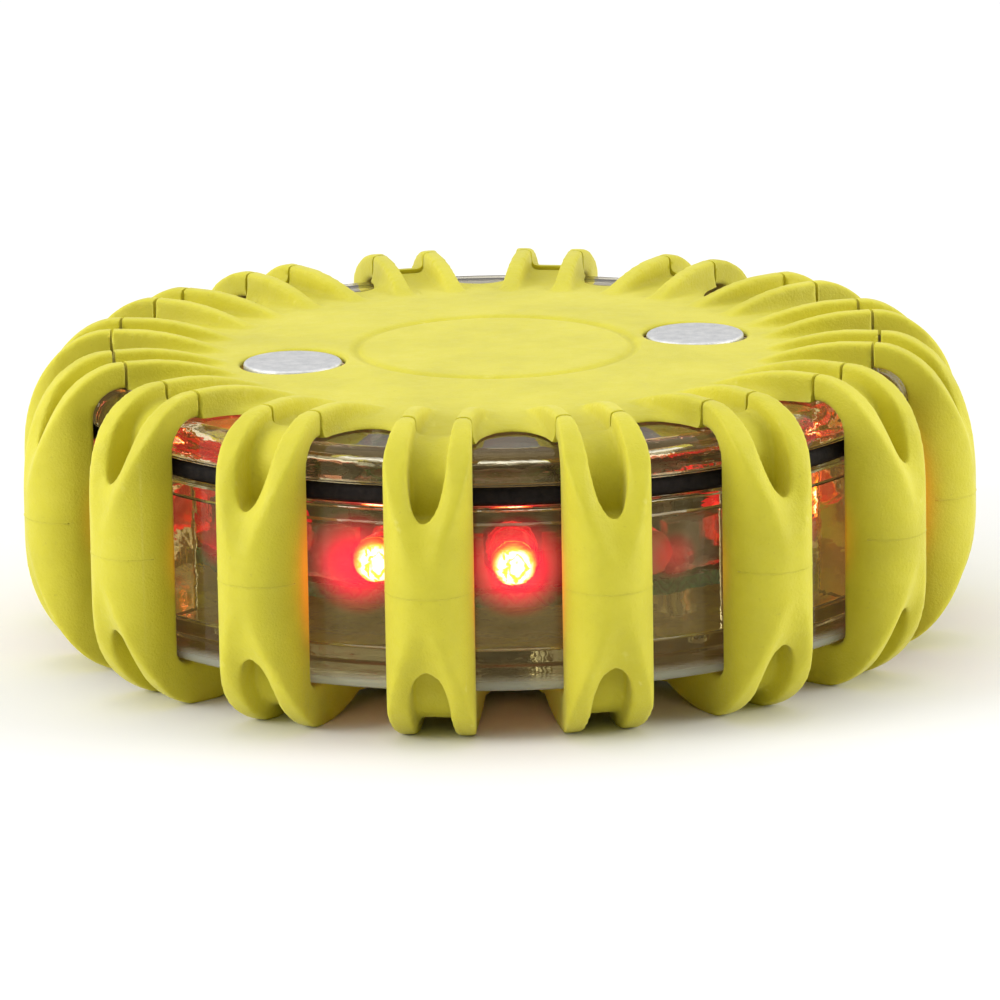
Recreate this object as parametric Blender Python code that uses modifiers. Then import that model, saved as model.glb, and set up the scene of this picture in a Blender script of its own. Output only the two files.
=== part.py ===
"""Puck-shaped LED road flare: a ribbed elastomer jacket round a clear housing that holds sixteen LEDs.

The flare stands on its rib feet at z = 0, with +Z up and the charging contacts on top. One window
faces -Y. Each piece of the real flare is its own object, and the underside push button slides along Z.
"""

import math

import bmesh
import bpy
from mathutils import Matrix, Vector

MM = 0.001
TAU = 2 * math.pi
GAP = 0.3 * MM  # left between neighbouring pieces

# Driving dimensions of the whole flare
SECTORS = 16  # windows, LEDs and ribs
PITCH = TAU / SECTORS
HEIGHT = 35.2 * MM
MIDDLE = HEIGHT / 2
RIM_R = 55.1 * MM  # outer face of the ribs
DISC_TOP = 33.6 * MM  # flat face of the top cover
DISC_UNDER = HEIGHT - DISC_TOP

# Clear housing
SHELL_STEPS = 2 * SECTORS  # facets round each turned piece of the housing
SHELL_R = 47.5 * MM
LID_TOP = 32.2 * MM
LID_UNDER = 29.8 * MM
LID_SEAT = 29.1 * MM
SHOULDER = 3.0 * MM
GASKET_TOP = 28.8 * MM
GASKET_LOW = 27.1 * MM
GASKET_IN = 44.4 * MM
BODY_TOP = 26.8 * MM
BODY_UNDER = 5.2 * MM
BODY_EDGE = 1.0 * MM
FLANGE_IN = 44.0 * MM  # inside of the thicker band at the housing's rim
FLANGE_LOW = 24.0 * MM
FLOOR_STEP = (38.4 * MM, 39.2 * MM)
WEB_THICK = 1.6 * MM  # short wall behind each rib
WALL_IN = 45.0 * MM
FLOOR = 8.6 * MM
FLOOR_RIM = 9.3 * MM

# Jacket
SEAM_R = 44.0 * MM  # circular slit between the top cover and the rib cage
SEAM = 0.45 * MM
RIB_HALF = 4.9 * MM
RIB_TIP = 3.65 * MM  # corner radius of a rib's outer face, seen from above
FIN_IN = 2.35 * MM  # sideways reach of the channel between a rib's two fins
FIN_OUT = 3.75 * MM
SLOT_END = RIM_R - RIB_TIP  # centre of the round outer end of that channel
POCKET_DEPTH = 10.1 * MM  # how far the pocket behind a rib's face goes down
SHELF_R = 48.8 * MM
FACE_STRAIGHT = 1.5 * MM  # half of the straight part of a rib's outer face, seen from the side
FACE_R = 50.0 * MM  # where a rib's rounded face starts, seen from above
FACE_FLAT = 0.4 * MM  # half of the flat middle of that face
FLANK_R = 47.5 * MM
FLANK_HALF = 4.6 * MM
RIB_START = 28.0 * MM
FIN_START = 30.5 * MM
CREST = [(42.0 * MM, 0), (37.0 * MM, 0.1 * MM), (33.4 * MM, 0.9 * MM)]  # a fin's edge: radius, depth
NEST = 1.3 * MM  # rounding where the housing's foot sits in a rib
SHELF_OVER = 1.25 * MM  # height of the shelf between two fins over the housing
SHELF_ROUND = 4.3 * MM
TAB_HALF = FIN_OUT + 0.45 * MM  # the disc's straight edge across a rib
SCALLOP_R = 38.0 * MM  # top disc's edge at the middle of a window
UNDER_TAB_R = 36.0 * MM  # bottom disc's edge at a rib
UNDER_SCALLOP_R = 32.4 * MM  # bottom disc's edge at the middle of a window
BEYOND = 3 * MM  # how far a cutter reaches past what it cuts
GROOVE_R = 15.9 * MM
GROOVE = 1.0 * MM
GROOVE_DEPTH = 0.35 * MM

# Charging contacts
CONTACT_AT = 23.7 * MM
CONTACT_R = 5.6 * MM
CONTACT_TOP = 33.5 * MM
STUD_R = 1.5 * MM
STUD_END = 26.0 * MM
SEAL_POCKET_R = 3.9 * MM
SEAL_POCKET = 1.3 * MM
SEAL_WIRE = 0.5 * MM  # cross-section radius of the small O-rings
CONTACT_EDGE = 0.3 * MM
CONTACT_WIRE = 0.3 * MM
CONTACT_COIL_R = 2.0 * MM
NUT_FLATS = 5.5 * MM
NUT_THICK = 2.4 * MM

# Circuit board, LEDs and their ring
BOARD_TOP = 13.9 * MM
BOARD_THICK = 1.6 * MM
BOARD_UNDER = BOARD_TOP - BOARD_THICK
BOARD_R = 38.2 * MM
LED_R = 2.5 * MM
LED_FLANGE_R = 2.8 * MM
LED_BASE = 32.9 * MM
LED_TIP = 41.5 * MM
LED_Z = MIDDLE
LED_FLANGE = 1.0 * MM
LEAD_APART = 1.27 * MM
LEAD_HALF = 0.25 * MM
LEAD_BACK = LED_BASE - 1.4 * MM
RING_IN = 35.6 * MM
RING_OUT = 37.2 * MM
RING_TOP = 19.9 * MM

# Fasteners
LID_SCREW_AT = 41.6 * MM
LID_SCREW_R = 1.15 * MM
SCREW_HEAD_R = 2.1 * MM
SCREW_HEAD_DEPTH = 1.4 * MM
SCREW_END = 15.0 * MM
POST_R = 2.8 * MM
BOARD_SCREW_AT = 33.0 * MM
BOARD_SCREW_R = 0.9 * MM
BOARD_SCREW_END = 7.0 * MM
BOARD_HEAD_R = 1.8 * MM
BOARD_HEAD = 1.2 * MM
STANDOFF_R = 2.4 * MM

# Battery pack
CELL_R = 5.25 * MM
CELL_LENGTH = 44.5 * MM
CELL_APART = 2 * CELL_R + GAP
NUB_R = 1.9 * MM
NUB = 0.9 * MM
CELL_ROUND = 0.4 * MM
CRADLE_LOW = BOARD_TOP + GAP
CRADLE_TOP = 19.0 * MM
CRADLE_FLOOR = 0.8 * MM
CELL_Z = CRADLE_LOW + CRADLE_FLOOR + GAP + CELL_R

# Push button under the flare
PAD_R = 8.7 * MM
PAD_LOW = 1.1 * MM
PAD_TOP = 2.7 * MM
PAD_ROUND = 0.6 * MM
HEAD_R = 7.5 * MM
HEAD_TOP = 4.0 * MM
PLUNGER_R = 2.2 * MM
PLUNGER_TOP = 9.75 * MM
NECK = (8.65 * MM, 9.55 * MM)  # the plunger's groove for its clip
CLIP_R = 3.6 * MM
SPRING_SEAT = 6.4 * MM
SPRING_SEAT_R = 5.2 * MM
GLAND = 7.0 * MM
GLAND_R = 3.9 * MM
SWITCH_LOW = 10.7 * MM
SWITCH_WIDE = 6.0 * MM
STEM_R = 1.6 * MM
STEM_LENGTH = 1.2 * MM
SPRING_WIRE = 0.25 * MM
SPRING_RADII = (4.6 * MM, 3.3 * MM)

SCREW_ANGLES = [PITCH / 2 + n * TAU / 4 for n in range(4)]
BOARD_SCREW_ANGLES = [1.5 * PITCH + n * TAU / 4 for n in range(4)]
RIB_ANGLES = [(n + 0.5) * PITCH for n in range(SECTORS)]
CONTACT_ANGLES = {"right": 4.5 * PITCH, "left": -3.5 * PITCH}

parts = None
helpers = None
surfaces = {}


# Scene and materials


def clear_scene():
    for obj in list(bpy.data.objects):
        bpy.data.objects.remove(obj, do_unlink=True)


def new_collection(name):
    collection = bpy.data.collections.new(name)
    bpy.context.scene.collection.children.link(collection)
    return collection


def make_surface(name, colour, roughness, metallic=0.0, alpha=1.0, glow=0.0):
    surface = bpy.data.materials.new(name)
    surface.use_nodes = True
    shader = surface.node_tree.nodes["Principled BSDF"]
    shader.inputs["Base Color"].default_value = (*colour, 1.0)
    shader.inputs["Roughness"].default_value = roughness
    shader.inputs["Metallic"].default_value = metallic
    shader.inputs["Alpha"].default_value = alpha
    shader.inputs["Emission Color"].default_value = (*colour, 1.0)
    shader.inputs["Emission Strength"].default_value = glow
    surface.diffuse_color = (*colour, alpha)
    surfaces[name] = surface


def make_surfaces():
    make_surface("jacket", (0.80, 0.75, 0.06), 0.62)
    make_surface("smoked_clear", (0.45, 0.44, 0.38), 0.08, alpha=0.35)
    make_surface("gasket", (0.02, 0.02, 0.02), 0.55)
    make_surface("contact_metal", (0.72, 0.72, 0.70), 0.38, 1.0)
    make_surface("led_red", (0.85, 0.02, 0.03), 0.15, glow=2.0)
    make_surface("board_green", (0.03, 0.22, 0.10), 0.40)
    make_surface("steel", (0.60, 0.60, 0.62), 0.32, 1.0)
    make_surface("nickel", (0.70, 0.68, 0.62), 0.35, 1.0)
    make_surface("cell_wrap", (0.12, 0.30, 0.16), 0.35)
    make_surface("black_plastic", (0.03, 0.03, 0.035), 0.50)
    make_surface("foam", (0.10, 0.10, 0.10), 0.95)
    make_surface("seal_rubber", (0.04, 0.04, 0.04), 0.60)
    make_surface("wire_red", (0.60, 0.02, 0.02), 0.45)
    make_surface("wire_black", (0.02, 0.02, 0.02), 0.45)
    make_surface("clear_plastic", (0.60, 0.60, 0.56), 0.15, alpha=0.5)
    make_surface("ferrite", (0.08, 0.08, 0.09), 0.70)


# Shapes


def arc(centre, radii, start, end, steps):
    """Points along an ellipse's arc in a plane, both ends included, angles in degrees."""
    points = []
    for step in range(steps + 1):
        angle = math.radians(start + (end - start) * step / steps)
        points.append((centre[0] + radii[0] * math.cos(angle), centre[1] + radii[1] * math.sin(angle)))
    return points


def mesh_of(obj):
    """The object's evaluated mesh, welded. The object itself is removed."""
    bpy.context.view_layer.update()
    graph = bpy.context.evaluated_depsgraph_get()
    mesh = bpy.data.meshes.new_from_object(obj.evaluated_get(graph))
    mesh.transform(obj.matrix_world)
    name = obj.name
    bpy.data.objects.remove(obj, do_unlink=True)
    work = bmesh.new()
    work.from_mesh(mesh)
    bmesh.ops.remove_doubles(work, verts=work.verts, dist=0.002 * MM)
    work.to_mesh(mesh)
    work.free()
    mesh.name = name
    return mesh


def slab(outlines, low, high):
    """A flat plate between two heights. The outlines after the first are holes in it."""
    curve = bpy.data.curves.new("slab", "CURVE")
    curve.dimensions = "2D"
    curve.fill_mode = "BOTH"
    curve.extrude = (high - low) / 2
    for outline in outlines:
        spline = curve.splines.new("POLY")
        spline.points.add(len(outline) - 1)
        for point, (x, y) in zip(spline.points, outline):
            point.co = (x, y, 0, 1)
        spline.use_cyclic_u = True
    drawn = bpy.data.objects.new("slab", curve)
    drawn.location.z = (high + low) / 2
    helpers.objects.link(drawn)
    return mesh_of(drawn)


def upright_slab(outline, near, far):
    """A slab whose outline is given as (distance from the axis, height), between two sideways places."""
    mesh = slab([outline], -far, -near)
    mesh.transform(Matrix.Rotation(TAU / 4, 4, "X"))
    return mesh


def turned(profile, steps, ring=False):
    """A turned solid. The profile's (radius, height) points run down the outer side.

    A ring's profile is closed; any other starts and ends on the axis.
    """
    mesh = bpy.data.meshes.new("turned")
    edges = [(i, i + 1) for i in range(len(profile) - 1)]
    if ring:
        edges.append((len(profile) - 1, 0))
    mesh.from_pydata([(r, 0, z) for r, z in profile], edges, [])
    spun = bpy.data.objects.new("turned", mesh)
    helpers.objects.link(spun)
    screw = spun.modifiers.new("Screw", "SCREW")
    screw.axis = "Z"
    screw.angle = TAU
    screw.steps = steps
    screw.render_steps = steps
    screw.use_merge_vertices = True
    screw.merge_threshold = 0.01 * MM
    screw.use_smooth_shade = True
    return mesh_of(spun)


def rod(radius, low, high, steps=12):
    return turned([(0, high), (radius, high), (radius, low), (0, low)], steps)


def stepped_rod(wide_r, ledge, narrow_r, low, high, steps=12):
    """A rod that is wide above its ledge and narrow below it."""
    wide = [(0, high), (wide_r, high), (wide_r, ledge)]
    return turned([*wide, (narrow_r, ledge), (narrow_r, low), (0, low)], steps)


def block(size, centre):
    work = bmesh.new()
    place = Matrix.Translation(centre) @ Matrix.Diagonal((*size, 1))
    bmesh.ops.create_cube(work, size=1, matrix=place)
    mesh = bpy.data.meshes.new("block")
    work.to_mesh(mesh)
    work.free()
    return mesh


def tube(points, radius, corners=2):
    """A round wire along the points."""
    curve = bpy.data.curves.new("tube", "CURVE")
    curve.dimensions = "3D"
    curve.bevel_depth = radius
    curve.bevel_resolution = corners
    curve.use_fill_caps = True
    spline = curve.splines.new("POLY")
    spline.points.add(len(points) - 1)
    for point, place in zip(spline.points, points):
        point.co = (*place, 1)
    drawn = bpy.data.objects.new("tube", curve)
    helpers.objects.link(drawn)
    return mesh_of(drawn)


def facing(angle):
    """Turns +X to a direction counted from -Y towards +X."""
    return Matrix.Rotation(angle - TAU / 4, 4, "Z")


def moved(mesh, matrix):
    copy = mesh.copy()
    copy.transform(matrix)
    return copy


def gathered(meshes):
    """Several meshes as one. Where they overlap, a union has to join them afterwards."""
    work = bmesh.new()
    for mesh in meshes:
        work.from_mesh(mesh)
    whole = bpy.data.meshes.new("gathered")
    work.to_mesh(whole)
    work.free()
    return whole


def around(mesh, angles, radius=0.0):
    """Copies of a mesh, moved out to a radius at each direction."""
    out = Matrix.Translation((radius, 0, 0))
    return gathered([moved(mesh, facing(angle) @ out) for angle in angles])


def helper(name, mesh):
    obj = bpy.data.objects.new(name, mesh)
    obj.hide_render = True
    obj.display_type = "WIRE"
    helpers.objects.link(obj)
    return obj


def combine(obj, name, mesh, operation):
    modifier = obj.modifiers.new(name, "BOOLEAN")
    modifier.operation = operation
    modifier.solver = "EXACT"
    modifier.object = helper(f"{obj.name}_{name}", mesh)


def part(name, mesh, surface, joined=(), cut=()):
    """A piece of the flare, with the meshes joined to it, one after another, and those cut from it."""
    mesh.name = name
    mesh.shade_smooth()
    mesh.set_sharp_from_angle(angle=math.radians(35))
    mesh.materials.clear()
    mesh.materials.append(surfaces[surface])
    obj = bpy.data.objects.new(name, mesh)
    parts.objects.link(obj)
    for number, extra in enumerate(joined):
        combine(obj, f"joined_{number + 1}", extra, "UNION")
    if cut:
        combine(obj, "cut", gathered(cut), "DIFFERENCE")
    return obj


# Jacket


def scalloped_outline(rib_r, scallop_r):
    """A disc's edge: straight across each rib, and an arch into it at each window."""
    points = []
    for sector in range(SECTORS):
        before = Matrix.Rotation((sector - 0.5) * PITCH - TAU / 4, 2)
        after = Matrix.Rotation((sector + 0.5) * PITCH - TAU / 4, 2)
        start = before @ Vector((rib_r, TAB_HALF))
        end = after @ Vector((rib_r, -TAB_HALF))
        chord = (start + end) / 2
        inward = -chord.normalized()
        arch = arc((0, 0), ((end - start).length / 2, chord.length - scallop_r), 180, 0, 4)
        for along, depth in arch:
            points.append(chord + (end - start).normalized() * along + inward * depth)
    return [tuple(point) for point in points]


def flipped(outline):
    """The same outline on the other face of the flare, which is symmetric about its middle height."""
    return [(r, HEIGHT - z) for r, z in outline]


def shelf_outline():
    """What lies over the shelf between a rib's fins: the shelf follows the housing's shoulder."""
    shelf_z = LID_TOP + SHELF_OVER
    corner = (SHELF_R - SHELF_ROUND, shelf_z - SHELF_ROUND)
    over = arc(corner, (SHELF_ROUND, SHELF_ROUND), 90, 0, 2)
    deep = HEIGHT - POCKET_DEPTH
    outside = RIM_R + BEYOND
    sky = HEIGHT + BEYOND
    return [(RIB_START, shelf_z), *over, (SHELF_R, deep), (outside, deep), (outside, sky), (RIB_START, sky)]


def channel_plan(start_r):
    """The channel between two fins, seen from above, with its round outer end."""
    end = arc((SLOT_END, 0), (FIN_IN, FIN_IN), -90, 90, 4)
    return [(start_r, -FIN_IN), *end, (start_r, FIN_IN)]


def rib_plan():
    """A rib seen from above: it widens outwards to its rounded face."""
    flank = [(RIB_START, FIN_OUT), (SEAM_R, FIN_OUT), (FLANK_R, FLANK_HALF)]
    corner = arc((FACE_R, FACE_FLAT), (RIM_R - FACE_R, RIB_HALF - FACE_FLAT), 90, 0, 3)
    half = flank + corner
    return half + [(x, -y) for x, y in reversed(half)]


def rib_side():
    """A rib from the side: outer face, feet fins, and the hollow that the housing sits in."""
    reach = (RIM_R - SEAM_R, MIDDLE - FACE_STRAIGHT)
    seam = SEAM_R + SEAM / 2
    upper = arc((SEAM_R, MIDDLE + FACE_STRAIGHT), reach, 84, 0, 4)
    lower = arc((SEAM_R, MIDDLE - FACE_STRAIGHT), reach, 0, -90, 4)
    fins = [*CREST, (FIN_START, DISC_UNDER)]
    inner = SHELL_R + GAP
    under = BODY_UNDER - GAP
    foot = arc((inner - NEST, under + NEST), (NEST, NEST), -90, 0, 1)
    bend = SHOULDER + GAP
    shoulder = arc((inner - bend, LID_TOP - SHOULDER), (bend, bend), 0, 90, 2)
    hook = [(seam, LID_TOP + GAP), (seam, HEIGHT)]
    return upper + lower + fins + [(FIN_START, under)] + foot + shoulder + hook


def rib_mesh():
    half = RIB_HALF + BEYOND
    rib = helper("rib", upright_slab(rib_side(), -half, half))
    combine(rib, "plan", slab([rib_plan()], -BEYOND, HEIGHT + BEYOND), "INTERSECT")
    for name, shelf, start in (
        ("top", shelf_outline(), SEAM_R - BEYOND),
        ("under", flipped(shelf_outline())[::-1], RIB_START + 1 * MM),
    ):
        channel = helper(f"{name}_channel", upright_slab(shelf, -half, half))
        plan = slab([channel_plan(start)], -2 * BEYOND, HEIGHT + 2 * BEYOND)
        combine(channel, "plan", plan, "INTERSECT")
        combine(rib, f"{name}_channel", mesh_of(channel), "DIFFERENCE")
    return mesh_of(rib)


def add_jacket_cage():
    """The lower moulding: a scalloped disc with sixteen ribs that wrap the housing."""
    hole = arc((0, 0), (PAD_R + GAP, PAD_R + GAP), 0, 348.75, 31)
    disc_top = BODY_UNDER - GAP - 0.05 * MM
    disc = slab([scalloped_outline(UNDER_TAB_R, UNDER_SCALLOP_R), hole], DISC_UNDER, disc_top)
    ribs = around(rib_mesh(), RIB_ANGLES)
    part("jacket_cage", disc, "jacket", joined=[ribs])


def add_jacket_top():
    """The top cover: a disc with two fins over each rib and a ring groove round its middle."""
    seam = SEAM_R - SEAM / 2
    disc = slab([scalloped_outline(seam, SCALLOP_R)], LID_TOP + GAP, DISC_TOP)
    sunk = 0.5 * MM
    end = seam - 0.05 * MM
    crest = [(r, HEIGHT - depth) for r, depth in CREST]
    side = [(end, DISC_TOP - sunk), (end, HEIGHT), *crest, (FIN_START, DISC_TOP)]
    side.append((FIN_START - sunk, DISC_TOP - sunk))
    fins = [upright_slab(side, FIN_IN, FIN_OUT), upright_slab(side, -FIN_OUT, -FIN_IN)]
    all_fins = around(gathered(fins), RIB_ANGLES)
    inner, outer = GROOVE_R - GROOVE / 2, GROOVE_R + GROOVE / 2
    low, high = DISC_TOP - GROOVE_DEPTH, DISC_TOP + BEYOND
    groove = turned([(outer, high), (outer, low), (inner, low), (inner, high)], 24, ring=True)
    hole = rod(CONTACT_R + GAP, LID_TOP - BEYOND, DISC_TOP + BEYOND, 16)
    holes = around(hole, CONTACT_ANGLES.values(), CONTACT_AT)
    part("jacket_top", disc, "jacket", joined=[all_fins], cut=[groove, holes])


# Housing


def add_housing_lid():
    shoulder = arc((SHELL_R - SHOULDER, LID_TOP - SHOULDER), (SHOULDER, SHOULDER), 90, 0, 2)
    ceiling_r = FLANGE_IN - 0.8 * MM
    rim = [(SHELL_R, LID_SEAT), (FLANGE_IN, LID_SEAT), (ceiling_r, LID_UNDER)]
    lid = turned([(0, LID_TOP), *shoulder, *rim, (0, LID_UNDER)], SHELL_STEPS)
    bosses = around(rod(POST_R, BODY_TOP + GAP, LID_UNDER + 1 * MM), SCREW_ANGLES, LID_SCREW_AT)
    bore_low = 20 * MM
    stud_hole = stepped_rod(SEAL_POCKET_R, LID_TOP - SEAL_POCKET, STUD_R + GAP, bore_low, HEIGHT)
    stud_holes = around(stud_hole, CONTACT_ANGLES.values(), CONTACT_AT)
    sink = LID_TOP - SCREW_HEAD_DEPTH - GAP
    screw_hole = stepped_rod(SCREW_HEAD_R + 0.4 * MM, sink, LID_SCREW_R + GAP, bore_low, HEIGHT)
    screw_holes = around(screw_hole, SCREW_ANGLES, LID_SCREW_AT)
    part("housing_lid", lid, "smoked_clear", joined=[bosses], cut=[stud_holes, screw_holes])


def add_rim_gasket():
    outer = SHELL_R - 0.1 * MM
    band = [(outer, GASKET_TOP), (outer, GASKET_LOW), (GASKET_IN, GASKET_LOW), (GASKET_IN, GASKET_TOP)]
    part("rim_gasket", turned(band, SHELL_STEPS, ring=True), "gasket")


def add_housing_body():
    """The clear tub, with its screw posts, board standoffs and a short wall behind each rib."""
    edge = arc((SHELL_R - BODY_EDGE, BODY_UNDER + BODY_EDGE), (BODY_EDGE, BODY_EDGE), 0, -90, 1)
    outside = [(SHELL_R, BODY_TOP), *edge, (SPRING_SEAT_R, BODY_UNDER), (SPRING_SEAT_R, SPRING_SEAT)]
    bore = PLUNGER_R + GAP
    guide = [(bore, SPRING_SEAT), (bore, GLAND), (GLAND_R, GLAND), (GLAND_R, FLOOR)]
    rim = [(FLOOR_STEP[0], FLOOR), (FLOOR_STEP[1], FLOOR_RIM), (WALL_IN, FLOOR_RIM)]
    flange = [(WALL_IN, FLANGE_LOW), (FLANGE_IN, FLANGE_LOW + 0.8 * MM), (FLANGE_IN, BODY_TOP)]
    body = turned(outside + guide + rim + flange, SHELL_STEPS, ring=True)
    sunk = 1 * MM
    post = rod(POST_R, FLOOR - sunk, BODY_TOP - 0.05 * MM)
    posts = around(post, SCREW_ANGLES, LID_SCREW_AT)
    standoff = rod(STANDOFF_R, FLOOR - sunk, BOARD_UNDER - GAP)
    standoffs = around(standoff, BOARD_SCREW_ANGLES, BOARD_SCREW_AT)
    web_size = (WALL_IN - LID_SCREW_AT + sunk, WEB_THICK, FLANGE_LOW - FLOOR + sunk)
    web = block(web_size, (LID_SCREW_AT + web_size[0] / 2, 0, (FLOOR + FLANGE_LOW) / 2))
    webs = around(web, RIB_ANGLES)
    bore_low = SCREW_END - 1 * MM
    lid_bores = around(rod(LID_SCREW_R + GAP, bore_low, HEIGHT, 8), SCREW_ANGLES, LID_SCREW_AT)
    bore_low = BOARD_SCREW_END - 0.4 * MM
    board_bore = rod(BOARD_SCREW_R + GAP, bore_low, BOARD_TOP + BEYOND, 8)
    board_bores = around(board_bore, BOARD_SCREW_ANGLES, BOARD_SCREW_AT)
    joined = [webs, gathered([posts, standoffs])]
    part("housing_body", body, "smoked_clear", joined=joined, cut=[lid_bores, board_bores])


def add_lid_screws():
    head_top = LID_TOP - 0.1 * MM
    head_low = LID_TOP - SCREW_HEAD_DEPTH
    profile = [(0, head_top), (SCREW_HEAD_R, head_top), (SCREW_HEAD_R, head_low)]
    profile += [(LID_SCREW_R, head_low), (LID_SCREW_R, SCREW_END + 0.8 * MM), (0, SCREW_END)]
    screw = turned(profile, 12)
    for number, angle in enumerate(SCREW_ANGLES):
        part(f"lid_screw_{number + 1}", around(screw, [angle], LID_SCREW_AT), "steel")


# Charging contacts


def add_charge_contact(side, angle):
    """One contact: a face disc on a stud, with its seal, nut and the spring down to the board."""
    head_low = LID_TOP + GAP
    edge = (CONTACT_R - CONTACT_EDGE, CONTACT_TOP - CONTACT_EDGE)
    face = arc(edge, (CONTACT_EDGE, CONTACT_EDGE), 90, 0, 1)
    stud = [(0, CONTACT_TOP), *face, (CONTACT_R, head_low), (STUD_R, head_low), (STUD_R, STUD_END)]
    contact = turned([*stud, (0, STUD_END)], 24)
    part(f"charge_contact_{side}", around(contact, [angle], CONTACT_AT), "contact_metal")

    middle = (STUD_R + GAP + SEAL_WIRE + 0.2 * MM, LID_TOP - SEAL_POCKET / 2)
    seal = turned(arc(middle, (SEAL_WIRE, SEAL_WIRE), 90, -210, 5), 16, ring=True)
    part(f"contact_seal_{side}", around(seal, [angle], CONTACT_AT), "seal_rubber")

    nut_r = NUT_FLATS / 2 / math.cos(TAU / 12)
    hexagon = arc((0, 0), (nut_r, nut_r), 0, 300, 5)
    thread_r = STUD_R + 0.2 * MM
    hole = arc((0, 0), (thread_r, thread_r), 0, 330, 11)
    nut = slab([hexagon, hole], LID_UNDER - GAP - NUT_THICK, LID_UNDER - GAP)
    part(f"contact_nut_{side}", around(nut, [angle], CONTACT_AT), "steel")

    low, high = BOARD_TOP + GAP + CONTACT_WIRE, STUD_END - GAP - CONTACT_WIRE
    spring = tube(coil(CONTACT_COIL_R, CONTACT_COIL_R, low, high, 4, 8), CONTACT_WIRE, 1)
    part(f"contact_spring_{side}", around(spring, [angle], CONTACT_AT), "nickel")


def coil(low_r, high_r, low, high, turns, corners):
    """Points up a helix whose radius changes evenly from bottom to top."""
    points = []
    for step in range(turns * corners + 1):
        share = step / (turns * corners)
        radius = low_r + (high_r - low_r) * share
        angle = turns * TAU * share
        points.append((radius * math.cos(angle), radius * math.sin(angle), low + (high - low) * share))
    return points


# Circuit board and LEDs


def add_circuit_board():
    board = rod(BOARD_R, BOARD_UNDER, BOARD_TOP, SHELL_STEPS)
    low, high = BOARD_UNDER - BEYOND, BOARD_TOP + BEYOND
    notch = rod(POST_R + GAP, low, high)
    notches = around(notch, SCREW_ANGLES, LID_SCREW_AT)
    hole = rod(BOARD_SCREW_R + GAP, low, high, 8)
    holes = around(hole, BOARD_SCREW_ANGLES, BOARD_SCREW_AT)
    part("circuit_board", board, "board_green", cut=[notches, holes])


def add_board_screws():
    head_low = BOARD_TOP + GAP
    head_top = head_low + BOARD_HEAD
    slope = (0.4 * MM, 0.5 * MM)
    head = [(0, head_top), (BOARD_HEAD_R - slope[0], head_top), (BOARD_HEAD_R, head_top - slope[1])]
    shank = [(BOARD_SCREW_R, head_low), (BOARD_SCREW_R, BOARD_SCREW_END), (0, BOARD_SCREW_END)]
    profile = [*head, (BOARD_HEAD_R, head_low), *shank]
    screw = turned(profile, 12)
    for number, angle in enumerate(BOARD_SCREW_ANGLES):
        part(f"board_screw_{number + 1}", around(screw, [angle], BOARD_SCREW_AT), "steel")


def led_mesh():
    """A domed LED that lies on the board's rim and looks outwards along +X."""
    dome_at = LED_TIP - LED_BASE - LED_R
    dome = arc((0, dome_at), (LED_R, LED_R), 90, 0, 2)
    flange = [(LED_R, LED_FLANGE), (LED_FLANGE_R, LED_FLANGE), (LED_FLANGE_R, 0), (0, 0)]
    lens = turned(dome + flange, 8)
    lens.transform(Matrix.Translation((LED_BASE, 0, LED_Z)) @ Matrix.Rotation(TAU / 4, 4, "Y"))
    inside = LED_BASE + 0.4 * MM
    low = BOARD_TOP + GAP
    far, near = LEAD_BACK - LEAD_HALF, LEAD_BACK + LEAD_HALF
    high, under = LED_Z + LEAD_HALF, LED_Z - LEAD_HALF
    bend = [(inside, high), (far, high), (far, low), (near, low), (near, under), (inside, under)]
    led = helper("led", lens)
    for place in (-LEAD_APART, LEAD_APART):
        combine(led, "lead", upright_slab(bend, place - LEAD_HALF, place + LEAD_HALF), "UNION")
    return mesh_of(led)


def add_leds():
    led = led_mesh()
    for number in range(SECTORS):
        part(f"led_{number + 1:02d}", moved(led, facing(number * PITCH)), "led_red")


def add_led_ring():
    """The clear ring that keeps the LEDs aimed: a wall on the board with a notch for each LED."""
    low = BOARD_TOP + GAP
    wall = [(RING_OUT, RING_TOP), (RING_OUT, low), (RING_IN, low), (RING_IN, RING_TOP)]
    half = LED_R + 0.7 * MM
    cup = arc((LED_Z, 0), (LED_R + GAP, half), 90, 270, 6)
    sky = RING_TOP + BEYOND
    notch = slab([[(sky, -half), (sky, half), *cup]], RING_IN - BEYOND, RING_OUT + BEYOND)
    notch.transform(Matrix(((0, 0, 1, 0), (0, 1, 0, 0), (1, 0, 0, 0), (0, 0, 0, 1))))
    notch.flip_normals()
    notches = around(notch, [n * PITCH for n in range(SECTORS)])
    part("led_ring", turned(wall, SHELL_STEPS, ring=True), "clear_plastic", cut=[notches])


def add_board_parts():
    """The controller under the board, and the two tall parts on it, beside the battery pack."""
    chip_size = (9 * MM, 6 * MM, 1.6 * MM)
    chip = block(chip_size, (13 * MM, -9 * MM, BOARD_UNDER - GAP - chip_size[2] / 2))
    part("controller_chip", chip, "black_plastic")

    low = BOARD_TOP + GAP
    core_r, core_top, edge = 3.6 * MM, low + 4.2 * MM, 0.4 * MM
    shape = [(0, core_top), (core_r - edge, core_top), (core_r, core_top - edge), (core_r, low), (0, low)]
    beside = Vector((23.0 * MM, -10.5 * MM, 0))
    part("boost_inductor", moved(turned(shape, 16), Matrix.Translation(beside)), "ferrite")

    can_r, can_height = 2.6 * MM, 7.0 * MM
    can = rod(can_r, low, low + can_height, 16)
    part("smoothing_capacitor", moved(can, Matrix.Translation(-beside)), "nickel")


# Battery pack


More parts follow.
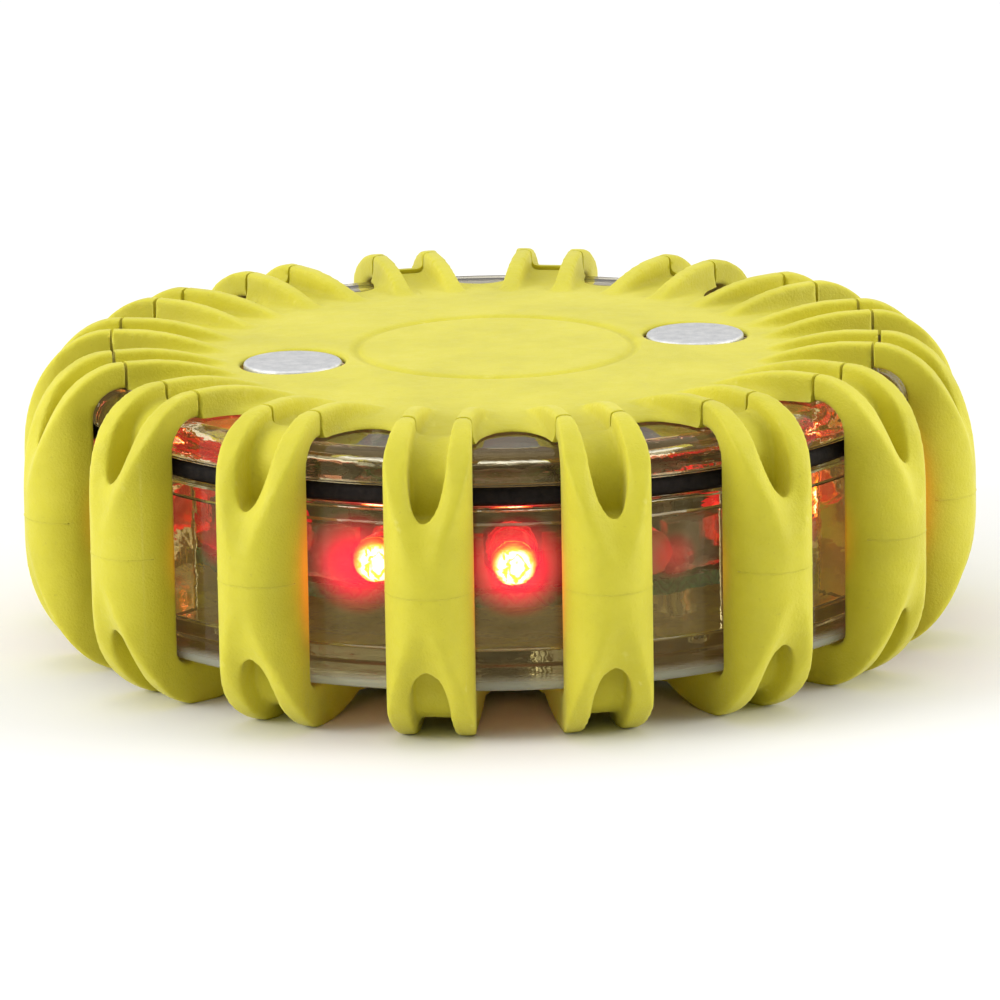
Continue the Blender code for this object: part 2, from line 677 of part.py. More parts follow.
def add_battery():
    """Three cells side by side in an open cradle, with their links and the foam that holds them down."""
    lie = Matrix.Rotation(TAU / 4, 4, "X")
    half = CELL_LENGTH / 2
    top = half - NUB
    nub = [(0, half), (NUB_R, half), (NUB_R, top)]
    case = [(CELL_R - CELL_ROUND, top), (CELL_R, top - CELL_ROUND), (CELL_R, -half), (0, -half)]
    cell = turned(nub + case, 20)
    for number in range(3):
        # Every other cell is turned round, so that the links between them are short.
        turn = Matrix.Rotation(number * TAU / 2, 4, "Z")
        place = Matrix.Translation(((number - 1) * CELL_APART, 0, CELL_Z))
        part(f"battery_cell_{number + 1}", moved(cell, place @ turn @ lie), "cell_wrap")

    side_wall, end_room, end_wall = 1.4 * MM, 0.95 * MM, 1.2 * MM
    width = 2 * (CELL_APART + CELL_R + side_wall)
    length = CELL_LENGTH + 2 * (end_room + end_wall)
    tray = block((width, length, CRADLE_TOP - CRADLE_LOW), (0, 0, (CRADLE_TOP + CRADLE_LOW) / 2))
    bed = rod(CELL_R + GAP, -half - end_room, half + end_room, 24)
    beds = [
        moved(bed, Matrix.Translation(((number - 1) * CELL_APART, 0, CELL_Z)) @ lie)
        for number in range(3)
    ]
    part("battery_cradle", tray, "black_plastic", cut=beds)

    foam_low = CELL_Z + CELL_R + GAP
    foam_top = LID_UNDER - GAP
    foam = block((24 * MM, 30 * MM, foam_top - foam_low), (0, 0, (foam_top + foam_low) / 2))
    part("battery_foam", foam, "foam")

    link_size = (CELL_APART + 4 * MM, 0.35 * MM, 2.4 * MM)
    for name, side, middle in (("front", -1, 0.5), ("back", 1, -0.5)):
        place = (middle * CELL_APART, side * (half + 0.5 * MM), CELL_Z)
        part(f"cell_link_{name}", block(link_size, place), "nickel")


def smooth_route(points, steps):
    """Points along a Catmull-Rom curve through the given ones."""
    ends = [points[0], *points, points[-1]]
    route = []
    for a, b, c, d in zip(ends, ends[1:], ends[2:], ends[3:]):
        a, b, c, d = Vector(a), Vector(b), Vector(c), Vector(d)
        for step in range(steps):
            t = step / steps
            square = (2 * a - 5 * b + 4 * c - d) * t**2
            cube = (3 * b - a - 3 * c + d) * t**3
            route.append((2 * b + (c - a) * t + square + cube) / 2)
    route.append(Vector(points[-1]))
    return route


def add_battery_wires():
    """From the pack's two open ends over the cradle's wall and down to the board."""
    end = CELL_LENGTH / 2 + 0.8 * MM
    for name, side in (("red", -1), ("black", 1)):
        x = side * CELL_APART
        points = [
            (x, side * end, CELL_Z + 1.0 * MM),
            (x, side * (end + 1.4 * MM), CELL_Z + 1.2 * MM),
            (x + side * 1.0 * MM, side * (end + 3.2 * MM), CELL_Z - 1.0 * MM),
            (x + side * 2.5 * MM, side * (end + 3.6 * MM), CELL_Z - 4.5 * MM),
            (x + side * 3.0 * MM, side * (end + 3.4 * MM), BOARD_TOP + GAP),
        ]
        part(f"battery_wire_{name}", tube(smooth_route(points, 2), 0.5 * MM), f"wire_{name}")


# Push button


def add_button():
    """Pad, plunger, clip and switch stem move up together. The seal and the switch base stay."""
    axis = bpy.data.objects.new("button_axis", None)
    axis.empty_display_size = 10 * MM
    parts.objects.link(axis)

    pad_edge = arc((PAD_R - PAD_ROUND, PAD_LOW + PAD_ROUND), (PAD_ROUND, PAD_ROUND), 0, -90, 2)
    pad = part("button_pad", turned([(0, PAD_TOP), (PAD_R, PAD_TOP), *pad_edge, (0, PAD_LOW)], 32), "jacket")

    head_low = PAD_TOP + GAP
    neck_low, neck_high = NECK
    shaft = [(0, PLUNGER_TOP), (PLUNGER_R, PLUNGER_TOP), (PLUNGER_R, neck_high), (STEM_R, neck_high)]
    shaft += [(STEM_R, neck_low), (PLUNGER_R, neck_low), (PLUNGER_R, HEAD_TOP), (HEAD_R, HEAD_TOP)]
    plunger = part("button_plunger", turned([*shaft, (HEAD_R, head_low), (0, head_low)], 24), "black_plastic")

    low, high = neck_low + 0.25 * MM, neck_high - 0.25 * MM
    hug = STEM_R + GAP
    ring = turned([(CLIP_R, high), (CLIP_R, low), (hug, low), (hug, high)], 16, ring=True)
    clip = part("plunger_clip", ring, "steel")

    stem_low = PLUNGER_TOP + GAP
    stem = part("switch_stem", rod(STEM_R, stem_low, stem_low + STEM_LENGTH, 16), "black_plastic")
    for piece in (pad, plunger, clip, stem):
        piece.parent = axis

    middle = (PLUNGER_R + 0.35 * MM + SEAL_WIRE, GLAND + GAP + SEAL_WIRE)
    seal = turned(arc(middle, (SEAL_WIRE, SEAL_WIRE), 90, -210, 5), 16, ring=True)
    part("plunger_seal", seal, "seal_rubber")

    switch_top = BOARD_UNDER - GAP
    base_size = (SWITCH_WIDE, SWITCH_WIDE, switch_top - SWITCH_LOW)
    base = block(base_size, (0, 0, (switch_top + SWITCH_LOW) / 2))
    bore = rod(STEM_R + GAP, SWITCH_LOW - BEYOND, switch_top + BEYOND, 16)
    part("switch_base", base, "black_plastic", cut=[bore])

    low, high = HEAD_TOP + GAP + SPRING_WIRE, SPRING_SEAT - GAP - SPRING_WIRE
    route = coil(*SPRING_RADII, low, high, 2, 10)
    part("button_spring", tube(route, SPRING_WIRE, 1), "steel")


clear_scene()
parts = new_collection("road_flare")
helpers = new_collection("road_flare_cutters")
make_surfaces()
add_jacket_cage()
add_jacket_top()
add_housing_lid()
add_rim_gasket()
add_housing_body()
add_lid_screws()
for contact_side, contact_angle in CONTACT_ANGLES.items():
    add_charge_contact(contact_side, contact_angle)
add_circuit_board()
add_board_screws()
add_leds()
add_led_ring()
add_board_parts()
add_battery()
add_battery_wires()
add_button()
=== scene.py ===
"""Looks of the LED road flare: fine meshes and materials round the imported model.

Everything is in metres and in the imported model's frame: +Z up, -Y out of the front window.
"""

import math

import bmesh
import bpy
from mathutils import Matrix, Vector


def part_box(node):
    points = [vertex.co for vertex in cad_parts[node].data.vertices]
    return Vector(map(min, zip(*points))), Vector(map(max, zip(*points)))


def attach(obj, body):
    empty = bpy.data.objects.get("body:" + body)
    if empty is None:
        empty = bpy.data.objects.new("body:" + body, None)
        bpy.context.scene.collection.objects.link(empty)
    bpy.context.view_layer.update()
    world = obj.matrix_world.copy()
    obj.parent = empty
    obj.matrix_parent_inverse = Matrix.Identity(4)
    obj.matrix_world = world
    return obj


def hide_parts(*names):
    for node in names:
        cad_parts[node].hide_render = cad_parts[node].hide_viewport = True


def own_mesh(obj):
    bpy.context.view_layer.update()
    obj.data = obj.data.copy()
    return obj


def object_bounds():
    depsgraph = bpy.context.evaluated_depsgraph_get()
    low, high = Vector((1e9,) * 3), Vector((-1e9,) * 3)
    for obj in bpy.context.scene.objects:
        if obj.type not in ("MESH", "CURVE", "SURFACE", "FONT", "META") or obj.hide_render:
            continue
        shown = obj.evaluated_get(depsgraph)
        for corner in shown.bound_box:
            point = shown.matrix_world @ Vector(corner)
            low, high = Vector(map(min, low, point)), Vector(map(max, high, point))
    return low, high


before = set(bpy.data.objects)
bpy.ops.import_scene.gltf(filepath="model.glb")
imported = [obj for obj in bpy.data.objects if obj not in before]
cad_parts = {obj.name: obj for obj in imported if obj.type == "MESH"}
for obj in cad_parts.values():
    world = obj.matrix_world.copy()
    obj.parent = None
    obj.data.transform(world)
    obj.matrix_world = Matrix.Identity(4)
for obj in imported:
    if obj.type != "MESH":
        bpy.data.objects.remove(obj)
cad_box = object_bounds()

MM = 0.001
TAU = 2 * math.pi
GAP = 0.3 * MM
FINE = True

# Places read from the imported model
BODY = "flare"
BUTTON = "button"
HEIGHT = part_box("jacket_top")[1].z
MIDDLE = HEIGHT / 2
LID_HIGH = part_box("housing_lid")[1]
SHELL_LOW, SHELL_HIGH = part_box("housing_body")
GASKET_LOW, GASKET_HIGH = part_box("rim_gasket")
BOARD_LOW, BOARD_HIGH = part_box("circuit_board")
RING_LOW, RING_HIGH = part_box("led_ring")
PAD_LOW, PAD_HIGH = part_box("button_pad")
LED_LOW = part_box("led_01")[0]
SHELL_R = LID_HIGH.x
LID_TOP = LID_HIGH.z
BODY_UNDER = SHELL_LOW.z
BOARD_TOP = BOARD_HIGH.z
BOARD_UNDER = BOARD_LOW.z
BOARD_R = BOARD_HIGH.x
LED_TIP = -LED_LOW.y
LED_Z = MIDDLE
CONTACT_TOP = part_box("charge_contact_left")[1].z

# Jacket
SECTORS = 16
PITCH = TAU / SECTORS  # one rib and one window
RIM_R = 55.1 * MM
DISC_TOP = 33.6 * MM
DISC_UNDER = HEIGHT - DISC_TOP
SEAM_R = 44.0 * MM
SEAM = 0.36 * MM
SEAM_SPARE = 0.9 * MM  # how far both halves are built past the seam before they are trimmed to it
RIB_START = 28 * MM
RIB_HALF = 4.9 * MM
FACE_START = 50.0 * MM  # where the rounding of a rib's face begins
FIN_START = 30.5 * MM
FIN_IN = 2.15 * MM
FIN_OUT = 4.05 * MM
FIN_LOSS = 0.28 * MM  # what the smoothing takes off a crest
FIN_FLANK = 1.5 * MM  # how far a fin's root stands out from its crest
TAB = FIN_OUT + 0.45 * MM  # half the width of the disc between two windows
SLOT_END = 53.8 * MM
UNDER_SLOT_END = 53.4 * MM
SLOT_TAPER = 6.4 * MM
UNDER_SLOT_TAPER = 4.0 * MM
SLOT_LEAN = 0.5  # how far a pocket's outer wall moves out per unit of height
SLOT_APEX = 9.2 * MM  # how far from the middle height a slot has its stated end
UNDER_SLOT_APEX = 9.8 * MM
POCKET_DEPTH = 10.1 * MM
SHELF_RISE = 1.25 * MM  # the channel's floor above the lid
SHELF_CORNER = 4.3 * MM
SHELF_R = 48.8 * MM
SCALLOP_R = 38.0 * MM
UNDER_SCALLOP_R = 32.4 * MM
UNDER_TAB_R = 36.0 * MM
GROOVE_R = 15.9 * MM
GROOVE = 1.1 * MM
GROOVE_DEPTH = 0.45 * MM
VOXEL = (0.24 if FINE else 0.45) * MM
SMOOTHING = 24 if FINE else 7

# Housing
SEAL_DROP = 0.7 * MM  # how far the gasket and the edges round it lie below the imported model's
BODY_TOP = SHELL_HIGH.z - SEAL_DROP
LID_UNDER = 29.8 * MM
LID_SEAT = GASKET_HIGH.z + GAP - SEAL_DROP
SHOULDER = 3.0 * MM
WALL_IN = 45.0 * MM
WEB_TOP = 24.0 * MM
FLOOR = 8.6 * MM
FLOOR_RIM = 9.3 * MM
ROUND_STEPS = 192

# Contacts, screws and LEDs
CONTACT_R = 5.6 * MM
CONTACT_AT = 23.7 * MM
STUD_R = 1.5 * MM
LID_SCREW_AT = 41.6 * MM
LID_BORE_R = 1.45 * MM
LID_POST_R = 2.8 * MM
BOARD_SCREW_AT = 33.0 * MM
BOARD_BORE_R = 1.2 * MM
BOARD_POST_R = 2.4 * MM
CORE_DROP = 0.35 * MM  # how far an LED's lit cup lies below the LED's axis
SCREW_ANGLES = [PITCH / 2 + n * TAU / 4 for n in range(4)]
BOARD_SCREW_ANGLES = [1.5 * PITCH + n * TAU / 4 for n in range(4)]
CONTACT_ANGLES = {"right": 4.5 * PITCH, "left": -3.5 * PITCH}
RIB_ANGLES = [(n + 0.5) * PITCH for n in range(SECTORS)]
WINDOW_ANGLES = [n * PITCH for n in range(SECTORS)]
FLASH = (1, 0, 0, 1)  # which of every four LEDs are lit, from the front window counted towards +X


# Materials


class Graph:
    """One node tree. Each method adds nodes and gives the socket that they put out."""

    def __init__(self, tree):
        self.nodes = tree.nodes
        self.links = tree.links

    def put(self, socket, value):
        if isinstance(value, bpy.types.NodeSocket):
            self.links.new(value, socket)
        elif socket.type == "RGBA" and len(value) == 3:
            socket.default_value = (*value, 1.0)
        else:
            socket.default_value = value

    def node(self, kind, inputs, output=0, **settings):
        node = self.nodes.new(kind)
        for key, value in settings.items():
            setattr(node, key, value)
        for key, value in inputs.items():
            self.put(node.inputs[key], value)
        return node.outputs[output]

    def math(self, operation, *values):
        return self.node("ShaderNodeMath", dict(enumerate(values)), operation=operation)

    def length(self, *parts):
        """The square root of the sum of the parts' squares."""
        total = self.math("MULTIPLY", parts[0], parts[0])
        for part in parts[1:]:
            total = self.math("ADD", total, self.math("MULTIPLY", part, part))
        return self.math("SQRT", total)

    def split(self, vector):
        node = self.nodes.new("ShaderNodeSeparateXYZ")
        self.put(node.inputs[0], vector)
        return node.outputs

    def spread(self, value, low, high, to_low=0.0, to_high=1.0, soft=False):
        """The value's range low to high, mapped onto another range."""
        inputs = {0: value, 1: low, 2: high, 3: to_low, 4: to_high}
        kind = "SMOOTHSTEP" if soft else "LINEAR"
        return self.node("ShaderNodeMapRange", inputs, interpolation_type=kind)


class Surface(Graph):
    """One material."""

    def __init__(self, name):
        self.material = bpy.data.materials.new(name)
        self.material.use_nodes = True
        super().__init__(self.material.node_tree)
        self.shader = self.nodes["Principled BSDF"]

    def set(self, name, value):
        self.put(self.shader.inputs[name], value)

    def place(self, scale=(1, 1, 1)):
        """Where a point is, in millimetres times the scale."""
        where = self.node("ShaderNodeTexCoord", {}, "Object")
        size = tuple(s / MM for s in scale)
        return self.node("ShaderNodeVectorMath", {0: where, 1: size}, operation="MULTIPLY")

    def noise(self, scale, detail=4.0, rough=0.55, stretch=(1, 1, 1), twist=0.0):
        inputs = {"Vector": self.place(stretch), "Scale": scale, "Detail": detail}
        inputs.update({"Roughness": rough, "Distortion": twist})
        return self.node("ShaderNodeTexNoise", inputs, "Fac")

    def blend(self, share, first, second):
        inputs = {"Factor": share, 6: first, 7: second}
        return self.node("ShaderNodeMix", inputs, 2, data_type="RGBA")

    def ramp(self, value, stops):
        node = self.nodes.new("ShaderNodeValToRGB")
        points = node.color_ramp.elements
        while len(points) < len(stops):
            points.new(1.0)
        for point, (where, colour) in zip(points, stops):
            point.position = where
            point.color = (*colour, 1.0)
        self.put(node.inputs["Fac"], value)
        return node.outputs["Color"]

    def bump(self, height, depth, below=None):
        inputs = {"Height": height, "Distance": depth, "Strength": 1.0}
        if below is not None:
            inputs["Normal"] = below
        return self.node("ShaderNodeBump", inputs, "Normal")

    def convex(self, low, high):
        """How far a point stands on an outer edge, from the mesh's own curvature."""
        return self.spread(self.node("ShaderNodeNewGeometry", {}, "Pointiness"), low, high)

    def polar(self):
        """(radius, angle, height) round the flare's axis, in metres and radians."""
        x, y, z = self.split(self.node("ShaderNodeTexCoord", {}, "Object"))
        angle = self.math("ARCTAN2", x, self.math("MULTIPLY", y, -1.0))
        return self.length(x, y), angle, z

    def led_distance(self, at, rise=0.0):
        """Millimetres to the nearest point at this radius on an LED's axis, or this much above it. Round
        the LEDs that are between two flashes it is read as more."""
        radius, angle, z = self.polar()
        turn = self.math("WRAP", angle, PITCH / 2, -PITCH / 2)
        across = self.math("MULTIPLY", radius, self.math("SINE", turn))
        along = self.math("SUBTRACT", self.math("MULTIPLY", radius, self.math("COSINE", turn)), at)
        up = self.math("SUBTRACT", z, LED_Z + rise)
        pair = self.math("WRAP", self.math("ADD", angle, PITCH / 2), 2 * PITCH, -2 * PITCH)
        dim = self.spread(self.math("ABSOLUTE", pair), 1.0 * PITCH, 1.25 * PITCH, 0.0, 2.6, soft=True)
        return self.math("ADD", self.math("DIVIDE", self.length(along, across, up), MM), dim)

    def smoke(self, colour, density):
        """Darkens light by the length of its way inside the piece."""
        node = self.nodes.new("ShaderNodeVolumeAbsorption")
        node.inputs["Color"].default_value = (*colour, 1.0)
        node.inputs["Density"].default_value = density
        self.links.new(node.outputs[0], self.nodes["Material Output"].inputs["Volume"])

    def glow(self, colour, strength):
        self.set("Emission Color", colour)
        self.set("Emission Strength", strength)


def jacket_surface():
    """Fluorescent yellow elastomer: matte, a little translucent, with moulding grain, lips paler from edge
    wear and a painted highlight, painted shade in the hollows and painted orange LED light near the
    windows.
    """
    s = Surface("jacket_yellow")
    deep, plain, pale = (0.58, 0.525, 0.022), (0.65, 0.59, 0.028), (0.70, 0.635, 0.045)
    colour = s.ramp(s.noise(0.09, 5.0, 0.6), [(0.30, deep), (0.52, plain), (0.75, pale)])
    # Paler convex lips: partly edge wear, partly a painted highlight
    lip = s.convex(0.56, 0.70)
    wear_and_highlight = s.math("MULTIPLY", lip, s.spread(s.noise(0.5), 0.35, 0.7, 0.15, 0.45))
    colour = s.blend(wear_and_highlight, colour, (0.86, 0.80, 0.24))
    # Painted shade: the hollows darkened towards a deep yellow
    hollow_shade = s.math("MULTIPLY", s.convex(0.50, 0.44), 0.35)
    colour = s.blend(hollow_shade, colour, (0.42, 0.37, 0.02))
    speck = s.spread(s.noise(1.9, 2.0, 0.4), 0.70, 0.76)
    colour = s.blend(s.math("MULTIPLY", speck, 0.25), colour, (0.45, 0.38, 0.03))
    s.set("Base Color", colour)
    s.set("Roughness", s.spread(s.noise(0.7, 5.0), 0.3, 0.7, 0.52, 0.72))
    s.set("Specular IOR Level", 0.45)
    s.set("Subsurface Weight", 0.18)
    s.set("Subsurface Radius", (1.0, 0.9, 0.25))
    s.set("Subsurface Scale", 1.1 * MM)
    s.set("Sheen Weight", 0.12)
    s.set("Sheen Roughness", 0.5)
    grain = s.bump(s.noise(3.2, 3.0, 0.65), 0.085 * MM)
    s.set("Normal", s.bump(s.noise(0.35, 3.0), 0.04 * MM, grain))
    # Painted light: an orange LED glow, as emission, on the rib flanks near the housing by each LED
    radius, _, _ = s.polar()
    near = s.spread(s.led_distance(41.0 * MM), 6.8, 13.5, 1.0, 0.0, soft=True)
    inner = s.spread(radius, 48.5 * MM, 53.6 * MM, 1.0, 0.0, soft=True)
    s.glow((1.0, 0.085, 0.0), s.math("MULTIPLY", s.math("MULTIPLY", near, inner), 0.60))
    return s.material


def housing_surface():
    """Smoky clear polycarbonate, with faint flow marks, the red haze that each LED throws into it, and a
    faint warm glow all over; both are painted light.
    """
    s = Surface("smoked_clear")
    radius, _, z = s.polar()
    # The foot of the outer wall is made greyer and cloudier, a pale band painted in for the floor's
    # reflection in its rounded edge
    foot = s.spread(z, BODY_UNDER + 0.7 * MM, BODY_UNDER + 2.2 * MM, 1.0, 0.0, soft=True)
    foot = s.math("MULTIPLY", foot, s.spread(radius, WALL_IN, WALL_IN + 1.2 * MM))
    clear = s.blend(s.noise(0.12, 3.0), (0.86, 0.81, 0.62), (0.93, 0.89, 0.74))
    s.set("Base Color", s.blend(foot, clear, (0.66, 0.72, 0.64)))
    s.set("Transmission Weight", s.spread(foot, 0.0, 1.0, 1.0, 0.62))
    s.set("Specular Tint", (0.66, 0.56, 0.26))
    s.set("IOR", 1.5)
    s.set("Roughness", s.spread(s.noise(1.2, 6.0, 0.7), 0.45, 0.75, 0.0, 0.05))
    s.smoke((0.42, 0.36, 0.02), 22.0)
    flow = s.noise(0.16, 3.0, 0.5, (1, 1, 2.2), 0.8)
    scratch = s.spread(s.noise(2.5, 2.0, 0.5, (1, 1, 0.08)), 0.62, 0.70)
    s.set("Normal", s.bump(scratch, 0.002 * MM, s.bump(flow, 0.06 * MM)))
    # Painted light, as emission: a red haze round each LED and a faint warm glow over the rest of the glass
    near = s.spread(s.led_distance(42.5 * MM, rise=1.3 * MM), 2.6, 7.8, 1.0, 0.0, soft=True)
    haze = s.math("MULTIPLY", s.math("MULTIPLY", near, near), 1.1)
    painted_glow_colour = s.blend(s.spread(haze, 0.02, 0.10), (1.0, 0.66, 0.28), (1.0, 0.003, 0.055))
    s.glow(painted_glow_colour, s.math("MAXIMUM", haze, s.spread(s.noise(0.25, 4.0), 0.3, 0.7, 0.006, 0.026)))
    return s.material


def ring_surface():
    """The clear ring round the LEDs, which carries their light as a red glow."""
    s = Surface("led_ring_clear")
    s.set("Base Color", s.blend(s.noise(0.3), (0.50, 0.20, 0.14), (0.62, 0.30, 0.22)))
    s.set("Transmission Weight", 1.0)
    s.set("IOR", 1.49)
    s.set("Roughness", s.spread(s.noise(1.5, 4.0), 0.35, 0.7, 0.05, 0.18))
    s.set("Normal", s.bump(s.noise(0.8, 4.0), 0.05 * MM))
    near = s.spread(s.led_distance(36.4 * MM), 2.2, 6.6, 1.0, 0.03, soft=True)
    s.glow((1.0, 0.006, 0.012), s.math("MULTIPLY", near, 0.12))
    return s.material


def gasket_surface():
    s = Surface("gasket_black")
    s.set("Base Color", s.ramp(s.noise(0.8), [(0.3, (0.004, 0.003, 0.003)), (0.8, (0.020, 0.014, 0.012))]))
    s.set("Roughness", s.spread(s.noise(2.0), 0.3, 0.7, 0.6, 0.8))
    s.set("Specular IOR Level", 0.15)
    s.set("Normal", s.bump(s.noise(2.2, 5.0), 0.05 * MM))
    return s.material


def metal_surface(name, colour, dark, grain, rough, stretch=(1, 1, 1)):
    """Bare or plated metal: grain in one direction, dull patches and fine dents."""
    s = Surface(name)
    patch = s.noise(0.45, 5.0)
    s.set("Base Color", s.blend(s.spread(patch, 0.35, 0.75), colour, dark))
    s.set("Metallic", 1.0)
    lines = s.noise(grain, 3.0, 0.6, stretch)
    s.set("Roughness", s.spread(lines, 0.3, 0.7, rough - 0.08, rough + 0.10))
    s.set("Normal", s.bump(patch, 0.05 * MM, s.bump(lines, 0.012 * MM)))
    return s.material


def contact_surface():
    """Stainless contact face, blasted matte, with a fine grain and a few scratches."""
    s = Surface("contact_metal")
    patch = s.noise(0.8, 6.0, 0.65)
    s.set("Base Color", s.ramp(patch, [(0.3, (0.62, 0.63, 0.65)), (0.7, (0.82, 0.82, 0.83))]))
    s.set("Metallic", 0.9)
    s.set("Roughness", s.spread(s.noise(6.0, 3.0), 0.3, 0.7, 0.42, 0.62))
    scratch = s.spread(s.noise(5.0, 2.0, 0.5, (1.0, 0.06, 1.0), 0.6), 0.60, 0.68)
    s.set("Normal", s.bump(scratch, -0.02 * MM, s.bump(s.noise(7.0, 3.0), 0.05 * MM)))
    return s.material


def led_lens_surface():
    """Red-tinted epoxy of an LED: clear, with a glow that is strongest towards the flange."""
    s = Surface("led_lens")
    s.set("Base Color", s.blend(s.noise(0.6), (0.90, 0.13, 0.11), (1.0, 0.20, 0.17)))
    s.set("Transmission Weight", 1.0)
    s.set("IOR", 1.52)
    s.set("Specular Tint", (0.45, 0.08, 0.08))
    s.set("Roughness", s.spread(s.noise(2.0), 0.3, 0.8, 0.0, 0.06))
    radius, _, _ = s.polar()
    back = s.spread(radius, LED_TIP - 8.0 * MM, LED_TIP, 0.22, 0.12)
    s.glow((1.0, 0.004, 0.040), back)
    return s.material


def led_core_surface(name, front, back):
    """The cup inside an LED that points along +X, with yellow swirls. The two numbers say how bright it is
    in front and round its edge."""
    s = Surface(name)
    _, across, z = s.split(s.node("ShaderNodeTexCoord", {}, "Object"))
    up = s.math("SUBTRACT", z, LED_Z - CORE_DROP)
    out = s.math("DIVIDE", s.length(across, up), MM)
    wander = s.spread(s.noise(0.9, 2.0, 0.5, twist=1.0), 0.3, 0.7, -0.5, 0.5)
    swirl = s.math("FRACT", s.math("MULTIPLY", s.math("ADD", out, wander), 1.15))
    hot, yellow = (1.0, 0.86, 0.70), (1.0, 0.46, 0.004)
    rings = s.ramp(swirl, [(0.0, hot), (0.45, hot), (0.56, yellow), (0.84, yellow), (0.96, hot)])
    rings = s.blend(s.spread(out, 1.1, 1.4), rings, (1.0, 0.50, 0.03))
    s.set("Base Color", (0.02, 0.0, 0.0))
    normal = s.split(s.node("ShaderNodeTexCoord", {}, "Normal"))
    ahead = s.spread(normal[0], 0.25, 0.75, 0.12, 1.0, soft=True)
    s.glow(rings, s.math("MULTIPLY", ahead, s.spread(out, 1.05, 1.5, front, back)))
    return s.material


def board_surface():
    """Green solder mask over tracks, with tinned pads and a fibre weave under it."""
    s = Surface("board_green")
    grid = {"Vector": s.place(), "Scale": 0.42}
    cells = s.node("ShaderNodeTexVoronoi", grid, "Distance", distance="MANHATTAN")
    tracks = s.spread(s.math("FRACT", s.math("MULTIPLY", cells, 2.6)), 0.42, 0.50)
    weave = s.node("ShaderNodeTexChecker", {"Vector": s.place(), "Scale": 1.6}, "Fac")
    mask = s.blend(tracks, (0.006, 0.060, 0.028), (0.012, 0.125, 0.052))
    mask = s.blend(s.math("MULTIPLY", weave, 0.12), mask, (0.02, 0.16, 0.06))
    grid = {"Vector": s.place(), "Scale": 0.24, "Randomness": 0.8}
    pad = s.spread(s.node("ShaderNodeTexVoronoi", grid, "Distance"), 0.10, 0.12, 1.0, 0.0)
    s.set("Base Color", s.blend(pad, mask, (0.55, 0.56, 0.55)))
    s.set("Metallic", s.math("MULTIPLY", pad, 0.9))
    s.set("Roughness", s.spread(s.noise(0.9), 0.3, 0.7, 0.22, 0.42))
    s.set("Normal", s.bump(tracks, 0.04 * MM, s.bump(s.noise(3.0), 0.01 * MM)))
    # Painted light: a red glow from the nearby LEDs on the board, as emission
    near = s.spread(s.led_distance(37.0 * MM), 2.5, 6.5, 1.0, 0.0, soft=True)
    s.glow((1.0, 0.01, 0.01), s.math("MULTIPLY", near, 0.16))
    return s.material


def plastic_surface(name, colour, rough, glow=0.0):
    """Moulded plastic or rubber: fine texture, slight marbling and dusty patches, and painted red LED light
    near the LEDs when glow is given.
    """
    s = Surface(name)
    lighter = tuple(min(1.0, c * 1.7 + 0.01) for c in colour)
    s.set("Base Color", s.blend(s.spread(s.noise(0.3, 6.0), 0.35, 0.75), colour, lighter))
    s.set("Roughness", s.spread(s.noise(1.4, 5.0), 0.3, 0.7, rough - 0.1, rough + 0.12))
    s.set("Normal", s.bump(s.noise(3.5, 3.0, 0.6), 0.04 * MM))
    if glow:
        # Painted light: a red glow from the nearby LEDs, as emission
        near = s.spread(s.led_distance(37.0 * MM), 2.0, 9.0, 1.0, 0.0, soft=True)
        s.glow((1.0, 0.01, 0.01), s.math("MULTIPLY", near, glow))
    return s.material


def wrap_surface():
    """Shrink film on a cell: glossy, with drawn-in wrinkles."""
    s = Surface("cell_wrap")
    s.set("Base Color", s.blend(s.noise(0.2), (0.035, 0.16, 0.06), (0.06, 0.24, 0.09)))
    s.set("Roughness", s.spread(s.noise(1.0), 0.3, 0.7, 0.18, 0.34))
    s.set("Coat Weight", 0.4)
    s.set("Normal", s.bump(s.noise(1.2, 4.0, 0.5, (1.0, 0.25, 1.0)), 0.08 * MM))
    return s.material


def foam_surface():
    s = Surface("foam_grey")
    pores = s.node("ShaderNodeTexVoronoi", {"Vector": s.place(), "Scale": 1.9}, "Distance")
    # Painted shade: the pores darker towards their middles
    s.set("Base Color", s.ramp(pores, [(0.0, (0.012, 0.012, 0.013)), (0.6, (0.10, 0.10, 0.105))]))
    s.set("Roughness", s.spread(pores, 0.0, 0.6, 0.95, 0.8))
    s.set("Normal", s.bump(pores, 0.25 * MM))
    return s.material


def make_surfaces():
    """Every surface by name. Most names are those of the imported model's material slots."""
    steel = metal_surface("steel", (0.58, 0.58, 0.60), (0.42, 0.42, 0.44), 5.0, 0.30, (1, 1, 0.2))
    return {
        "jacket": jacket_surface(),
        "smoked_clear": housing_surface(),
        "gasket": gasket_surface(),
        "contact_metal": contact_surface(),
        "led_red": led_lens_surface(),
        "led_core": led_core_surface("led_core", 8.0, 2.6),
        "led_core_dim": led_core_surface("led_core_dim", 0.10, 0.05),
        "board_green": board_surface(),
        "steel": steel,
        "dark_steel": metal_surface("dark_steel", (0.05, 0.045, 0.04), (0.09, 0.08, 0.07), 5.0, 0.42),
        "nickel": metal_surface("nickel", (0.70, 0.67, 0.60), (0.50, 0.47, 0.42), 4.0, 0.28),
        "cell_wrap": wrap_surface(),
        "black_plastic": plastic_surface("black_plastic", (0.012, 0.012, 0.014), 0.45, 0.05),
        "foam": foam_surface(),
        "seal_rubber": plastic_surface("seal_rubber", (0.02, 0.02, 0.02), 0.6),
        "wire_red": plastic_surface("wire_red", (0.42, 0.012, 0.012), 0.38),
        "wire_black": plastic_surface("wire_black", (0.012, 0.012, 0.012), 0.38),
        "clear_plastic": ring_surface(),
        "ferrite": plastic_surface("ferrite", (0.035, 0.035, 0.04), 0.75),
    }


# Shapes


